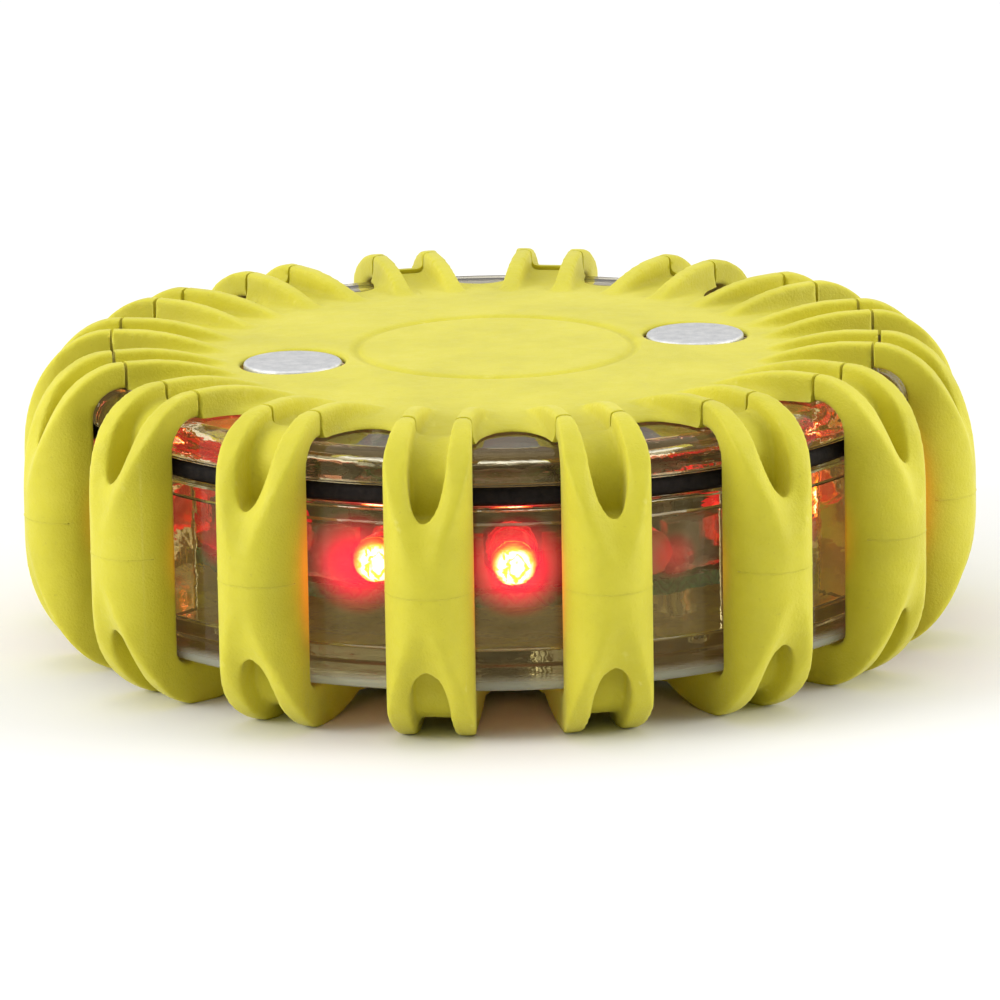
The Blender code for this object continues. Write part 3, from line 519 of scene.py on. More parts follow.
def arc(centre, radii, start, end, steps):
    """Points along an ellipse's arc in a plane, both ends included, angles in degrees."""
    points = []
    for step in range(steps + 1):
        angle = math.radians(start + (end - start) * step / steps)
        points.append((centre[0] + radii[0] * math.cos(angle), centre[1] + radii[1] * math.sin(angle)))
    return points


def new_object(name, data):
    obj = bpy.data.objects.new(name, data)
    bpy.context.scene.collection.objects.link(obj)
    return obj


def baked(obj):
    """The object's evaluated mesh. The object itself is removed."""
    bpy.context.view_layer.update()
    graph = bpy.context.evaluated_depsgraph_get()
    mesh = bpy.data.meshes.new_from_object(obj.evaluated_get(graph))
    mesh.transform(obj.matrix_world)
    bpy.data.objects.remove(obj, do_unlink=True)
    return mesh


def welded(mesh):
    """The mesh with the points that lie on each other made one."""
    work = bmesh.new()
    work.from_mesh(mesh)
    bmesh.ops.remove_doubles(work, verts=work.verts, dist=0.002 * MM)
    work.to_mesh(mesh)
    work.free()
    return mesh


def slab(outlines, low, high):
    """A flat plate between two heights. The outlines after the first are holes in it."""
    curve = bpy.data.curves.new("slab", "CURVE")
    curve.dimensions = "2D"
    curve.fill_mode = "BOTH"
    curve.extrude = (high - low) / 2
    for outline in outlines:
        spline = curve.splines.new("POLY")
        spline.points.add(len(outline) - 1)
        for point, (x, y) in zip(spline.points, outline):
            point.co = (x, y, 0, 1)
        spline.use_cyclic_u = True
    drawn = new_object("slab", curve)
    drawn.location.z = (high + low) / 2
    return welded(baked(drawn))


def upright_slab(outline, near, far):
    """A slab whose outline is given as (distance from the axis, height), between two sideways places."""
    mesh = slab([outline], -far, -near)
    mesh.transform(Matrix.Rotation(TAU / 4, 4, "X"))
    return mesh


def turned(profile, steps=96, ring=False):
    """A turned solid. The profile's (radius, height) points run down the outer side."""
    profile = [b for a, b in zip([profile[-1], *profile], profile) if math.dist(a, b) > 1e-6]
    mesh = bpy.data.meshes.new("turned")
    edges = [(i, i + 1) for i in range(len(profile) - 1)]
    if ring:
        edges.append((len(profile) - 1, 0))
    mesh.from_pydata([(r, 0, z) for r, z in profile], edges, [])
    spun = new_object("turned", mesh)
    screw = spun.modifiers.new("Screw", "SCREW")
    screw.axis = "Z"
    screw.angle = TAU
    screw.steps = steps
    screw.render_steps = steps
    screw.use_merge_vertices = True
    screw.merge_threshold = 0.01 * MM
    screw.use_smooth_shade = True
    return welded(baked(spun))


def rod(radius, low, high, steps=32):
    return turned([(0, high), (radius, high), (radius, low), (0, low)], steps)


def block(size, centre, edge):
    """A box with rounded edges."""
    work = bmesh.new()
    place = Matrix.Translation(centre) @ Matrix.Diagonal((*size, 1))
    bmesh.ops.create_cube(work, size=1, matrix=place)
    bmesh.ops.bevel(work, geom=work.edges[:], offset=edge, segments=3, profile=0.5, affect="EDGES")
    mesh = bpy.data.meshes.new("block")
    work.to_mesh(mesh)
    work.free()
    return mesh


def tube(points, radius, corners=4):
    """A round bar along a line of points."""
    curve = bpy.data.curves.new("tube", "CURVE")
    curve.dimensions = "3D"
    curve.bevel_depth = radius
    curve.bevel_resolution = corners
    curve.use_fill_caps = True
    spline = curve.splines.new("POLY")
    spline.points.add(len(points) - 1)
    for point, place in zip(spline.points, points):
        point.co = (*place, 1)
    return welded(baked(new_object("tube", curve)))


def facing(angle):
    """Turns +X to a direction counted from -Y towards +X."""
    return Matrix.Rotation(angle - TAU / 4, 4, "Z")


def moved(mesh, matrix):
    copy = mesh.copy()
    copy.transform(matrix)
    return copy


def gathered(meshes):
    """The meshes side by side in one."""
    work = bmesh.new()
    for mesh in meshes:
        work.from_mesh(mesh)
    whole = bpy.data.meshes.new("gathered")
    work.to_mesh(whole)
    work.free()
    return whole


def around(mesh, angles, radius=0.0):
    """Copies of a mesh that points along +X, one at each angle, moved outwards by the radius."""
    out = Matrix.Translation((radius, 0, 0))
    return gathered([moved(mesh, facing(angle) @ out) for angle in angles])


def combined(mesh, steps):
    """The mesh after each (operation, other mesh) in turn."""
    obj = new_object("combined", mesh)
    others = []
    for operation, other in steps:
        helper = new_object("other", other)
        others.append(helper)
        modifier = obj.modifiers.new(operation, "BOOLEAN")
        modifier.operation = operation
        modifier.solver = "EXACT"
        modifier.object = helper
    result = baked(obj)
    for helper in others:
        bpy.data.objects.remove(helper, do_unlink=True)
    return result


def softened(mesh, voxel, rounds, share):
    """One moulded skin over overlapping solids: edges rounded, corners filleted, flats thinned out."""
    obj = new_object("softened", mesh)
    remesh = obj.modifiers.new("Remesh", "REMESH")
    remesh.mode = "VOXEL"
    remesh.voxel_size = voxel
    remesh.use_smooth_shade = True
    smooth = obj.modifiers.new("Smooth", "SMOOTH")
    smooth.factor = 0.5
    smooth.iterations = rounds
    obj.modifiers.new("Thin", "DECIMATE").ratio = share
    return baked(obj)


def piece(name, mesh, surface, slot, *replaced, body=BODY, sharp=35):
    """A shown piece of the flare that stands for CAD nodes. Corners above the sharp angle stay crisp."""
    mesh.name = name
    mesh.shade_smooth()
    if sharp:
        mesh.set_sharp_from_angle(angle=math.radians(sharp))
    mesh.materials.clear()
    mesh.materials.append(surface)
    obj = new_object(name, mesh)
    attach(obj, body)
    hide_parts(*replaced)
    return obj


# Jacket


def scalloped_outline(rib_r, scallop_r):
    """The outline of a disc that reaches rib_r at each rib and arches in to scallop_r at each window."""
    points = []
    for sector in range(SECTORS):
        before = Matrix.Rotation((sector - 0.5) * PITCH - TAU / 4, 2)
        after = Matrix.Rotation((sector + 0.5) * PITCH - TAU / 4, 2)
        start = before @ Vector((rib_r, TAB))
        end = after @ Vector((rib_r, -TAB))
        chord = (start + end) / 2
        inward = -chord.normalized()
        arch = arc((0, 0), ((end - start).length / 2, chord.length - scallop_r), 180, 0, 20)
        for along, depth in arch:
            points.append(chord + (end - start).normalized() * along + inward * depth)
    return [tuple(point) for point in points]


def flipped(outline):
    """The same outline turned over, about the flare's middle height."""
    return [(r, HEIGHT - z) for r, z in outline][::-1]


def shelf_outline():
    """What is cut from above the channel's floor and the pocket's floor in a rib, seen from its side."""
    shelf_z = LID_TOP + SHELF_RISE
    corner = (SHELF_R - SHELF_CORNER, shelf_z - SHELF_CORNER)
    over = arc(corner, (SHELF_CORNER, SHELF_CORNER), 90, 0, 16)
    deep = HEIGHT - POCKET_DEPTH
    beyond = RIM_R + 3 * MM
    sky = HEIGHT + 3 * MM
    pocket = [(SHELF_R, deep), (beyond, deep), (beyond, sky)]
    return [(RIB_START, shelf_z), *over, *pocket, (RIB_START, sky)]


def channel(start_r, end_r, taper, top):
    """What the channel between a rib's fins takes away, over its whole height. Its outer end leans out."""
    end = arc((end_r - taper, 0), (taper, FIN_IN), -90, 90, 24)
    mesh = slab([[(start_r, -FIN_IN), *end, (start_r, FIN_IN)]], -5 * MM, HEIGHT + 5 * MM)
    lean = SLOT_LEAN if top else -SLOT_LEAN
    apex = MIDDLE + (SLOT_APEX if top else -UNDER_SLOT_APEX)
    mesh.transform(Matrix(((1, 0, lean, -lean * apex), (0, 1, 0, 0), (0, 0, 1, 0), (0, 0, 0, 1))))
    return mesh


def rib_plan():
    """A rib's outline from above."""
    flank = [(RIB_START, FIN_OUT), (SEAM_R, FIN_OUT), (47.5 * MM, 4.6 * MM)]
    flat = 0.4 * MM
    corner = arc((FACE_START, flat), (RIM_R - FACE_START, RIB_HALF - flat), 90, 0, 16)
    half = flank + corner
    return half + [(x, -y) for x, y in reversed(half[:-1])]


def fin_crest():
    """The line of a top fin's crest, from the seam inwards until it sinks into the disc."""
    start, fall = 41.0 * MM, HEIGHT - DISC_TOP + 0.3 * MM
    crest = []
    for step in range(11):
        share = step / 10
        crest.append((start - (start - FIN_START) * share, HEIGHT + FIN_LOSS - fall * share ** 1.8))
    return crest


def rib_side():
    """A rib's outline from its side: the outer face, the bottom fins' crest, then round the housing."""
    straight = 1.5 * MM
    seam = SEAM_R - SEAM_SPARE
    reach = (RIM_R - SEAM_R, MIDDLE - straight + FIN_LOSS)
    upper = arc((SEAM_R, MIDDLE + straight), reach, 86, 0, 32)
    lower = arc((SEAM_R, MIDDLE - straight), reach, 0, -90, 32)
    keel_r, keel_fall = 8.0 * MM, DISC_UNDER + FIN_LOSS + 0.4 * MM
    fins = []
    for step in range(1, 11):
        share = step / 10
        fins.append((SEAM_R - keel_r * share, keel_fall * share ** 1.6 - FIN_LOSS))
    inner = SHELL_R + GAP
    under = BODY_UNDER - GAP
    foot_r, shoulder_r = 1.3 * MM, 3.3 * MM
    foot = arc((inner - foot_r, under + foot_r), (foot_r, foot_r), -90, 0, 6)
    shoulder = arc((inner - shoulder_r, LID_TOP - SHOULDER), (shoulder_r, shoulder_r), 0, 90, 10)
    web = [(FIN_START, under)]
    hook = [(seam, LID_TOP + GAP), (seam, HEIGHT + FIN_LOSS)]
    return upper + lower + fins + web + foot + shoulder + hook


def dish(flip):
    """What hollows a rib's face next to its pocket, deepest at the pocket and gone at the middle height."""
    reach = 4.5 * MM
    out = RIM_R + reach
    route = [
        (out + 0.1 * MM, MIDDLE + 0.5 * MM),
        (out - 0.15 * MM, MIDDLE + 4.0 * MM),
        (out - 1.3 * MM, MIDDLE + 8.5 * MM),
        (out - 3.9 * MM, MIDDLE + 13.5 * MM),
        (out - 5.3 * MM, MIDDLE + 16.0 * MM),
        (out - 6.5 * MM, MIDDLE + 19.0 * MM),
    ]
    if flip:
        route = flipped(route)
    return tube([(x, 0, z) for x, z in route], reach, 8)


def rib_mesh():
    """A rib that points along +X, with its fins, channels and pockets, all in one piece."""
    half = RIB_HALF + 1 * MM
    cuts = []
    slot_start, under_slot_start = 34 * MM, 22 * MM
    upper = (shelf_outline(), channel(slot_start, SLOT_END, SLOT_TAPER, True))
    under_slot = channel(under_slot_start, UNDER_SLOT_END, UNDER_SLOT_TAPER, False)
    lower = (flipped(shelf_outline()), under_slot)
    for shelf, plan in (upper, lower):
        cuts.append(("DIFFERENCE", combined(upright_slab(shelf, -half, half), [("INTERSECT", plan)])))
    cuts += [("DIFFERENCE", dish(flip)) for flip in (False, True)]
    plan = slab([rib_plan()], -1 * MM, HEIGHT + 1 * MM)
    return combined(upright_slab(rib_side(), -half, half), [("INTERSECT", plan), *cuts])


def flanked_fin(outer, side):
    """A top fin with a steep face towards its channel and a broad soft flank on the other side."""
    root = DISC_TOP - 0.5 * MM
    start = FIN_START - 0.5 * MM
    roots = [(start + (outer - start) * step / 8, root) for step in range(9)]
    mesh = upright_slab([*roots, (outer, HEIGHT + FIN_LOSS), *fin_crest()], FIN_IN, FIN_OUT)
    for vertex in mesh.vertices:
        if vertex.co.y > (FIN_IN + FIN_OUT) / 2 and vertex.co.z < DISC_TOP - 0.2 * MM:
            share = (vertex.co.x - FIN_START) / (outer - FIN_START)
            vertex.co.y += FIN_FLANK * math.sin(math.pi * min(max(share, 0), 1) ** 0.8) ** 0.7
        vertex.co.y *= side
    if side < 0:
        mesh.flip_normals()
    return mesh


def rolled_edge(mesh, top):
    """Rolls the disc's face down towards the arch that its edge makes at each window, and lets the top
    disc sink a little on its way out."""
    roll = 3.2 * MM
    sink, sink_start, sink_width = 0.55 * MM, 20 * MM, 18 * MM
    above, below = 1.9 * MM, 1.3 * MM  # how far from the face a vertex is still moved
    drop = (0.60 if top else 0.90) * MM
    flat = DISC_TOP if top else DISC_UNDER
    rib_r = SEAM_R if top else UNDER_TAB_R
    scallop_r = SCALLOP_R if top else UNDER_SCALLOP_R
    half_arch = rib_r * math.sin(PITCH / 2) - TAB * math.cos(PITCH / 2)
    chord = rib_r * math.cos(PITCH / 2) + TAB * math.sin(PITCH / 2)
    deep = chord - scallop_r
    for vertex in mesh.vertices:
        x, y, z = vertex.co
        depth = flat - z if top else z - flat
        if not -above < depth < below:
            continue
        radius = math.hypot(x, y)
        turn = (math.atan2(x, -y) + PITCH / 2) % PITCH - PITCH / 2
        along, out = radius * math.sin(turn), radius * math.cos(turn)
        away = (math.hypot(along / half_arch, (chord - out) / deep) - 1) * deep
        share = min(max(1 - away / roll, 0), 1)
        fall = drop * (1 - math.sqrt(1 - share * share))
        if top:
            outward = min(max((radius - sink_start) / sink_width, 0), 1)
            fall += sink * outward * outward * (3 - 2 * outward)
        keep = 1 - depth / below if depth > 0 else 1 + depth / above
        vertex.co.z += -fall * keep if top else fall * keep
    return mesh


def trimmed_seam(mesh, inside):
    """Presses what stands past the seam back to it, which leaves a flat end face with a crisp corner. The
    feet are pressed flat on the ground in the same way."""
    limit = SEAM_R - SEAM / 2 if inside else SEAM_R + SEAM / 2
    for vertex in mesh.vertices:
        vertex.co.z = max(vertex.co.z, 0)
        x, y, z = vertex.co
        radius = math.hypot(x, y)
        if inside:
            past = radius > limit
        else:
            past = SEAM_R - 2 * MM < radius < limit and z > LID_TOP
        if past:
            vertex.co.x *= limit / radius
            vertex.co.y *= limit / radius
    return mesh


def parting_beads():
    """The fine raised line that the mould left round each rib's face, at the middle height."""
    start, radius, sunk = 50.5 * MM, 0.07 * MM, 0.03 * MM
    route = [(x - sunk, y * 0.995, MIDDLE) for x, y in rib_plan() if x > start]
    bead = tube(route, radius, 2)
    return around(bead, RIB_ANGLES)


def add_jacket(surfaces):
    hole_r = PAD_HIGH.x + GAP + 0.15 * MM
    hole = arc((0, 0), (hole_r, hole_r), 0, 354, 59)
    outlines = [scalloped_outline(UNDER_TAB_R, UNDER_SCALLOP_R), hole]
    disc = slab(outlines, DISC_UNDER, BODY_UNDER - GAP - 0.05 * MM)
    whole = gathered([disc, around(rib_mesh(), RIB_ANGLES)])
    cage = rolled_edge(softened(whole, VOXEL, SMOOTHING, 0.25), top=False)
    cage = gathered([trimmed_seam(cage, inside=False), parting_beads()])
    piece("jacket_cage_moulding", cage, surfaces["jacket"], "jacket", "jacket_cage", sharp=None)

    end = SEAM_R - SEAM / 2 + SEAM_SPARE
    disc = slab([scalloped_outline(end, SCALLOP_R)], LID_TOP + GAP, DISC_TOP)
    fins = [flanked_fin(end, side) for side in (1, -1)]
    inner, outer = GROOVE_R - GROOVE / 2, GROOVE_R + GROOVE / 2
    low, high = DISC_TOP - GROOVE_DEPTH, DISC_TOP + 1 * MM
    groove = turned([(outer, high), (outer, low), (inner, low), (inner, high)], 128, ring=True)
    hole = rod(CONTACT_R + GAP + 0.1 * MM, LID_TOP - 1 * MM, DISC_TOP + 1 * MM, 64)
    holes = around(hole, CONTACT_ANGLES.values(), CONTACT_AT)
    plate = combined(disc, [("DIFFERENCE", gathered([groove, holes]))])
    whole = gathered([plate, around(gathered(fins), RIB_ANGLES)])
    cover = rolled_edge(softened(whole, VOXEL * 0.9, SMOOTHING, 0.3), top=True)
    cover = trimmed_seam(cover, inside=True)
    piece("jacket_top_cover", cover, surfaces["jacket"], "jacket", "jacket_top", sharp=None)


# Housing


def stepped_rod(wide_r, ledge, narrow_r, low, high):
    """A rod that is narrower below the ledge."""
    wide = [(0, high), (wide_r, high), (wide_r, ledge)]
    return turned([*wide, (narrow_r, ledge), (narrow_r, low), (0, low)], 48)


def add_housing(surfaces):
    clear = surfaces["smoked_clear"]
    shoulder = arc((SHELL_R - SHOULDER, LID_TOP - SHOULDER), (SHOULDER, SHOULDER), 90, 0, 14)
    seat = [(SHELL_R - 0.1 * MM, LID_SEAT), (WALL_IN - 1 * MM, LID_SEAT)]
    inside = arc((WALL_IN - 1.8 * MM, LID_UNDER - 0.7 * MM), (0.8 * MM, 0.7 * MM), 0, 90, 5)
    lid = turned([(0, LID_TOP), *shoulder, *seat, *inside, (0, LID_UNDER)], ROUND_STEPS)
    bosses = around(rod(LID_POST_R, BODY_TOP + GAP, LID_UNDER + 1 * MM), SCREW_ANGLES, LID_SCREW_AT)
    stud_hole = stepped_rod(3.9 * MM, LID_TOP - 1.3 * MM, STUD_R + GAP, 20 * MM, HEIGHT)
    screw_hole = stepped_rod(2.5 * MM, LID_TOP - 1.7 * MM, LID_BORE_R, 20 * MM, HEIGHT)
    holes = gathered([
        around(stud_hole, CONTACT_ANGLES.values(), CONTACT_AT),
        around(screw_hole, SCREW_ANGLES, LID_SCREW_AT),
    ])
    lid = combined(lid, [("UNION", bosses), ("DIFFERENCE", holes)])
    piece("clear_lid", lid, clear, "smoked_clear", "housing_lid", sharp=28)

    foot_r, lip_r, fillet_r = 1.0 * MM, 0.2 * MM, 0.8 * MM
    edge = arc((SHELL_R - foot_r, BODY_UNDER + foot_r), (foot_r, foot_r), 0, -90, 8)
    top = arc((SHELL_R - lip_r, BODY_TOP - lip_r), (lip_r, lip_r), 90, 0, 3)
    groove = [(SHELL_R, 8.55 * MM), (SHELL_R - 0.3 * MM, 8.3 * MM), (SHELL_R, 8.05 * MM)]
    outside = [*top, *groove, *edge]
    well_r, neck_r, seat_r = 5.2 * MM, 2.5 * MM, 3.9 * MM
    neck_low, neck_high = 6.4 * MM, 7.0 * MM
    guide = [(well_r, BODY_UNDER), (well_r, neck_low), (neck_r, neck_low), (neck_r, neck_high)]
    guide += [(seat_r, neck_high), (seat_r, FLOOR)]
    corner = arc((WALL_IN - fillet_r, FLOOR_RIM + fillet_r), (fillet_r, fillet_r), -90, 0, 6)
    rim = [(38.4 * MM, FLOOR), (39.2 * MM, FLOOR_RIM), *corner]
    bead_in = WALL_IN - 0.35 * MM
    bead = [(WALL_IN, 23.5 * MM), (bead_in, 23.8 * MM), (bead_in, 25.0 * MM), (WALL_IN, 25.3 * MM)]
    inside = [*rim, *bead, (WALL_IN, BODY_TOP)]
    shell = turned(outside + guide + inside, ROUND_STEPS, ring=True)
    sunk = FLOOR - 1 * MM
    posts = around(rod(LID_POST_R, sunk, BODY_TOP - 0.05 * MM), SCREW_ANGLES, LID_SCREW_AT)
    standoff = rod(BOARD_POST_R, sunk, BOARD_UNDER - GAP)
    standoffs = around(standoff, BOARD_SCREW_ANGLES, BOARD_SCREW_AT)
    web_length = WALL_IN - LID_SCREW_AT + 1 * MM
    web_at = (LID_SCREW_AT + web_length / 2, 0, (FLOOR + WEB_TOP) / 2)
    web = block((web_length, 1.6 * MM, WEB_TOP - FLOOR + 1 * MM), web_at, 0.35 * MM)
    webs = around(web, RIB_ANGLES)
    lid_bores = around(rod(LID_BORE_R, 14 * MM, HEIGHT), SCREW_ANGLES, LID_SCREW_AT)
    board_bore = rod(BOARD_BORE_R, 6.6 * MM, 20 * MM)
    board_bores = around(board_bore, BOARD_SCREW_ANGLES, BOARD_SCREW_AT)
    steps = [("UNION", webs), ("UNION", gathered([posts, standoffs]))]
    steps.append(("DIFFERENCE", gathered([lid_bores, board_bores])))
    shell = combined(shell, steps)
    piece("clear_body", shell, clear, "smoked_clear", "housing_body", sharp=28)

    outer, inner = GASKET_HIGH.x, 44.4 * MM
    low, high = GASKET_LOW.z - SEAL_DROP, GASKET_HIGH.z - SEAL_DROP
    middle = (low + high) / 2
    pressed = GAP + 0.01 * MM  # the rubber bridges the gap to the glass behind its outer lip
    step = high - 1.0 * MM
    lip_in, seal_in = outer - 0.9 * MM, outer - 1.8 * MM
    lips = arc((outer - 0.4 * MM, middle), (0.4 * MM, (high - low) / 2), 90, -90, 8)
    upper = [(inner, step), (seal_in - 0.1 * MM, step)]
    upper += [(seal_in, high + pressed), (lip_in, high + pressed)]
    lower = [(lip_in, low - pressed), (inner, low - pressed)]
    band = turned([*upper, *lips, *lower], ROUND_STEPS, ring=True)
    piece("rim_seal", band, surfaces["gasket"], "gasket", "rim_gasket")


def add_contacts(surfaces):
    head_low, stud_low = LID_TOP + GAP, 26.0 * MM
    edge = 0.35 * MM
    face = arc((CONTACT_R - edge, CONTACT_TOP - edge), (edge, edge), 90, 0, 6)
    stud = [(CONTACT_R, head_low), (STUD_R, head_low), (STUD_R, stud_low + 0.2 * MM)]
    stud += [(STUD_R - 0.2 * MM, stud_low), (0, stud_low)]
    contact = turned([(0, CONTACT_TOP), *face, *stud], 96)
    for side, angle in CONTACT_ANGLES.items():
        mesh = around(contact, [angle], CONTACT_AT)
        look = surfaces["contact_metal"]
        piece(f"contact_face_{side}", mesh, look, "contact_metal", f"charge_contact_{side}")


def led_mesh():
    """A domed LED that points along +X: its lens, then the cup inside it, then its two bent leads.

    Its faces have material 0 on the lens, 1 on the front of the cup and 2 on the rest of the metal.
    """
    lens_r, flange_r, base = 2.5 * MM, 2.8 * MM, LED_TIP - 8.6 * MM
    dome = arc((0, LED_TIP - base - lens_r), (lens_r, lens_r), 90, 0, 14)
    flange = [(lens_r, 1.1 * MM), *arc((flange_r - 0.1 * MM, 0.9 * MM), (0.1 * MM, 0.1 * MM), 90, 0, 2)]
    lens = turned([*dome, *flange, (flange_r, 0.1 * MM), (flange_r - 0.1 * MM, 0), (0, 0)], 48)
    cup_at = LED_TIP - base - 3.3 * MM
    cup_low = cup_at - 1.1 * MM
    post = [(0.55 * MM, cup_low - 0.3 * MM), (0.55 * MM, 0.4 * MM), (0, 0.4 * MM)]
    bowl = arc((0, cup_at - 0.1 * MM), (1.6 * MM, 1.1 * MM), 90, 5, 10)
    cup = turned([*bowl, (1.7 * MM, cup_at), (0.9 * MM, cup_low), *post], 32)
    point = Matrix.Translation((base, 0, LED_Z)) @ Matrix.Rotation(TAU / 4, 4, "Y")
    lens.transform(point)
    cup.transform(Matrix.Translation((0, 0, -CORE_DROP)) @ point)
    back = base - 1.4 * MM
    leads = []
    for side in (-1.27 * MM, 1.27 * MM):
        bend = arc((back + 0.6 * MM, LED_Z - 0.6 * MM), (0.6 * MM, 0.6 * MM), 90, 180, 5)
        route = [(base - 0.02 * MM, LED_Z), *bend, (back, BOARD_TOP + 0.3 * MM)]
        leads.append(tube([(x, side, z) for x, z in route], 0.25 * MM, 2))
    for part in (cup, *leads):
        for polygon in part.polygons:
            polygon.material_index = 2
    for polygon in cup.polygons:
        if polygon.normal.x > 0.1:
            polygon.material_index = 1
    return gathered([lens, cup, *leads])


def add_leds(surfaces):
    lit = led_mesh()
    lit.shade_smooth()
    lit.set_sharp_from_angle(angle=math.radians(40))
    dim = lit.copy()
    for mesh, core in ((lit, "led_core"), (dim, "led_core_dim")):
        for name in ("led_red", core, "nickel"):
            mesh.materials.append(surfaces[name])
    for number, angle in enumerate(WINDOW_ANGLES):
        lamp = new_object(f"led_lamp_{number + 1:02d}", lit if FLASH[number % 4] else dim)
        lamp.matrix_world = facing(angle)
        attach(lamp, BODY)
        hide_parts(f"led_{number + 1:02d}")

    low, high = RING_LOW.z, RING_HIGH.z
    wall_in, wall_out = 35.6 * MM, RING_HIGH.x
    edge = 0.15 * MM
    crown = [(wall_out - edge, high), (wall_out, high - edge)]
    wall = [*crown, (wall_out, low), (wall_in, low), (wall_in, high - edge), (wall_in + edge, high)]
    half = 3.2 * MM
    hollow = arc((LED_Z, 0), (2.8 * MM, half), 90, 270, 24)
    sky = high + 1 * MM
    notch = slab([[(sky, -half), (sky, half), *hollow]], wall_in - 1 * MM, wall_out + 1 * MM)
    notch.transform(Matrix(((0, 0, 1, 0), (0, 1, 0, 0), (1, 0, 0, 0), (0, 0, 0, 1))))
    notch.flip_normals()
    ring = combined(turned(wall, ROUND_STEPS, ring=True), [("DIFFERENCE", around(notch, WINDOW_ANGLES))])
    piece("lamp_ring", ring, surfaces["clear_plastic"], "clear_plastic", "led_ring", sharp=28)


def add_board(surfaces):
    board = rod(BOARD_R, BOARD_UNDER, BOARD_TOP, ROUND_STEPS)
    notch = rod(3.1 * MM, BOARD_UNDER - 1 * MM, BOARD_TOP + 1 * MM)
    hole = rod(BOARD_BORE_R, BOARD_UNDER - 1 * MM, BOARD_TOP + 1 * MM)
    cuts = gathered([
        around(notch, SCREW_ANGLES, LID_SCREW_AT),
        around(hole, BOARD_SCREW_ANGLES, BOARD_SCREW_AT),
    ])
    board = combined(board, [("DIFFERENCE", cuts)])
    piece("main_board", board, surfaces["board_green"], "board_green", "circuit_board")


# Push button


def coil(low_r, high_r, low, high, turns, corners):
    """The line of a spring's wire. Its radius may change on the way up."""
    points = []
    for step in range(turns * corners + 1):
        share = step / (turns * corners)
        radius = low_r + (high_r - low_r) * share
        angle = turns * TAU * share
        points.append((radius * math.cos(angle), radius * math.sin(angle), low + (high - low) * share))
    return points


def add_button(surfaces):
    pad_r, low, high = PAD_HIGH.x, PAD_LOW.z, PAD_HIGH.z
    edge = arc((pad_r - 0.6 * MM, low + 0.6 * MM), (0.6 * MM, 0.6 * MM), 0, -90, 8)
    rings = []
    for middle in (6.4 * MM, 4.6 * MM, 2.8 * MM):
        rings += [(middle + 0.35 * MM, low), *arc((middle, low), (0.3 * MM, 0.25 * MM), 0, 180, 6)]
    back = [(0, high), (pad_r - 0.2 * MM, high), (pad_r, high - 0.2 * MM)]
    pad = turned([*back, *edge, *rings, (0, low)], 128)
    piece("button_face", pad, surfaces["jacket"], "jacket", "button_pad", body=BUTTON)

    spring_low, spring_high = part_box("button_spring")
    wire = 0.25 * MM
    route = coil(4.6 * MM, 3.3 * MM, spring_low.z + wire, spring_high.z - wire, 2, 40)
    spring = piece("button_coil", tube(route, wire), surfaces["dark_steel"], "steel", "button_spring")
    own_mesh(spring)


def add_contact_springs(surfaces):
    wire = 0.3 * MM
    for side, angle in CONTACT_ANGLES.items():
        low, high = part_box(f"contact_spring_{side}")
        route = coil(2.0 * MM, 2.0 * MM, low.z + wire, high.z - wire, 4, 32)
        mesh = around(tube(route, wire), [angle], CONTACT_AT)
        piece(f"contact_coil_{side}", mesh, surfaces["nickel"], "nickel", f"contact_spring_{side}")


def carry_over(surfaces):
    """The CAD nodes that stay shown take the surface of their own material slot."""
    shown = [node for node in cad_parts.values() if not node.hide_render]
    for node in shown:
        for slot in node.material_slots:
            name = slot.material.name.split(".")[0]
            slot.material = surfaces.get(name, slot.material)


# Stage


def add_floor():
    s = Surface("floor_pale")
    s.set("Base Color", s.blend(s.noise(0.004, 2.0), (0.90, 0.90, 0.90), (0.92, 0.92, 0.92)))
    s.set("Roughness", 0.9)
    s.set("Specular IOR Level", 0.1)
    work = bmesh.new()
    bmesh.ops.create_grid(work, x_segments=1, y_segments=1, size=6.0)
    mesh = bpy.data.meshes.new("floor")
    work.to_mesh(mesh)
    work.free()
    mesh.materials.append(s.material)
    floor = new_object("floor", mesh)
    floor.location.z = cad_box[0].z - 0.02 * MM


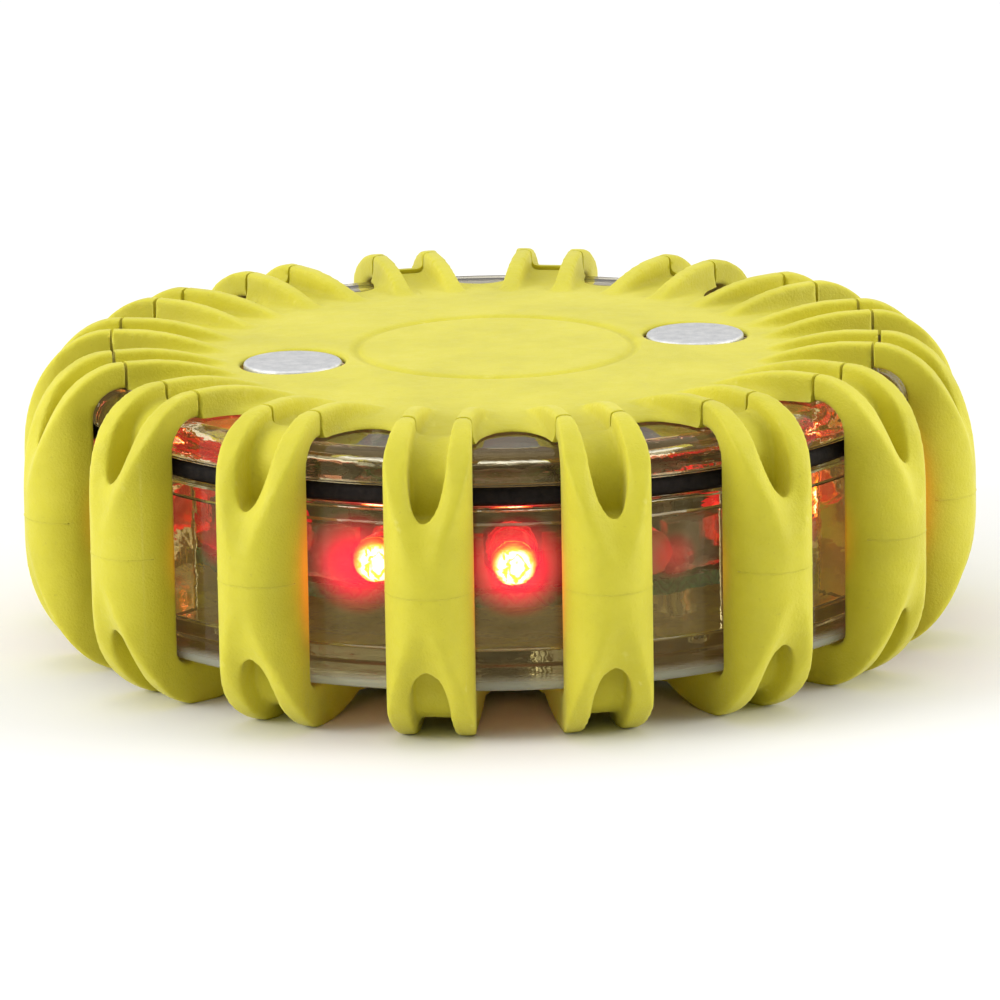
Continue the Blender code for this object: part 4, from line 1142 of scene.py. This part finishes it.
def add_world():
    """An even, nearly white surround that is darker in two directions, for the glass to show."""
    world = bpy.data.worlds.new("studio")
    world.use_nodes = True
    graph = Graph(world.node_tree)
    background = graph.nodes["Background"]
    background.inputs["Color"].default_value = (1.0, 0.995, 0.985, 1.0)
    direction = graph.node("ShaderNodeTexCoord", {}, "Generated")
    strength = 1.17
    for towards, low, high, share in (
        ((0.30, -0.93, -0.20), -0.05, 0.75, 0.07),
        ((0.04, 0.97, 0.25), 0.78, 0.95, 0.40),
    ):
        inputs = {0: direction, 1: towards}
        near = graph.node("ShaderNodeVectorMath", inputs, "Value", operation="DOT_PRODUCT")
        dimmer = graph.spread(near, low, high, 1.0, share, soft=True)
        strength = graph.math("MULTIPLY", dimmer, strength)
    graph.put(background.inputs["Strength"], strength)
    bpy.context.scene.world = world


def add_lights():
    """Three soft lamps, all aimed at the middle of the flare."""
    middle = Vector((0, 0, MIDDLE))
    for name, where, size, power in (
        ("key", (-0.88, -0.32, 0.42), 0.50, 4.3),
        ("top", (-0.10, 0.10, 1.00), 0.60, 0.9),
        ("fill", (0.92, -0.22, 0.32), 0.50, 4.6),
    ):
        lamp = bpy.data.lights.new(name, "AREA")
        lamp.shape = "DISK"
        lamp.size = size
        lamp.energy = power
        light = new_object(name, lamp)
        light.location = where
        light.rotation_euler = (middle - Vector(where)).to_track_quat("-Z", "Y").to_euler()


def add_camera():
    """A long lens a metre away, a little above the flare and a little to its left."""
    distance = 1.0
    elevation = math.radians(13.66)
    azimuth = math.radians(2.54)
    roll = math.radians(-0.94)
    right, up = 0.296 * MM, -2.08 * MM
    level = math.cos(elevation)
    across, ahead = math.sin(azimuth) * level, math.cos(azimuth) * level
    forward = Vector((across, ahead, -math.sin(elevation)))
    turn = forward.to_track_quat("-Z", "Y").to_matrix().to_4x4()
    aim = Vector((0, 0, MIDDLE)) + turn.to_3x3() @ Vector((right, up, 0))
    lens = bpy.data.cameras.new("camera")
    lens.lens = 36.0 * 8.7126  # the sensor's width times the focal length in frame widths
    lens.clip_start = 0.05
    lens.clip_end = 30.0
    camera = new_object("camera", lens)
    place = Matrix.Translation(aim - forward * distance)
    camera.matrix_world = place @ turn @ Matrix.Rotation(roll, 4, "Z")
    bpy.context.scene.camera = camera


surfaces = make_surfaces()
add_jacket(surfaces)
add_housing(surfaces)
add_contacts(surfaces)
add_contact_springs(surfaces)
add_leds(surfaces)
add_board(surfaces)
add_button(surfaces)
carry_over(surfaces)
add_floor()
add_world()
add_lights()
add_camera()
bpy.context.scene.view_settings.view_transform = "Standard"
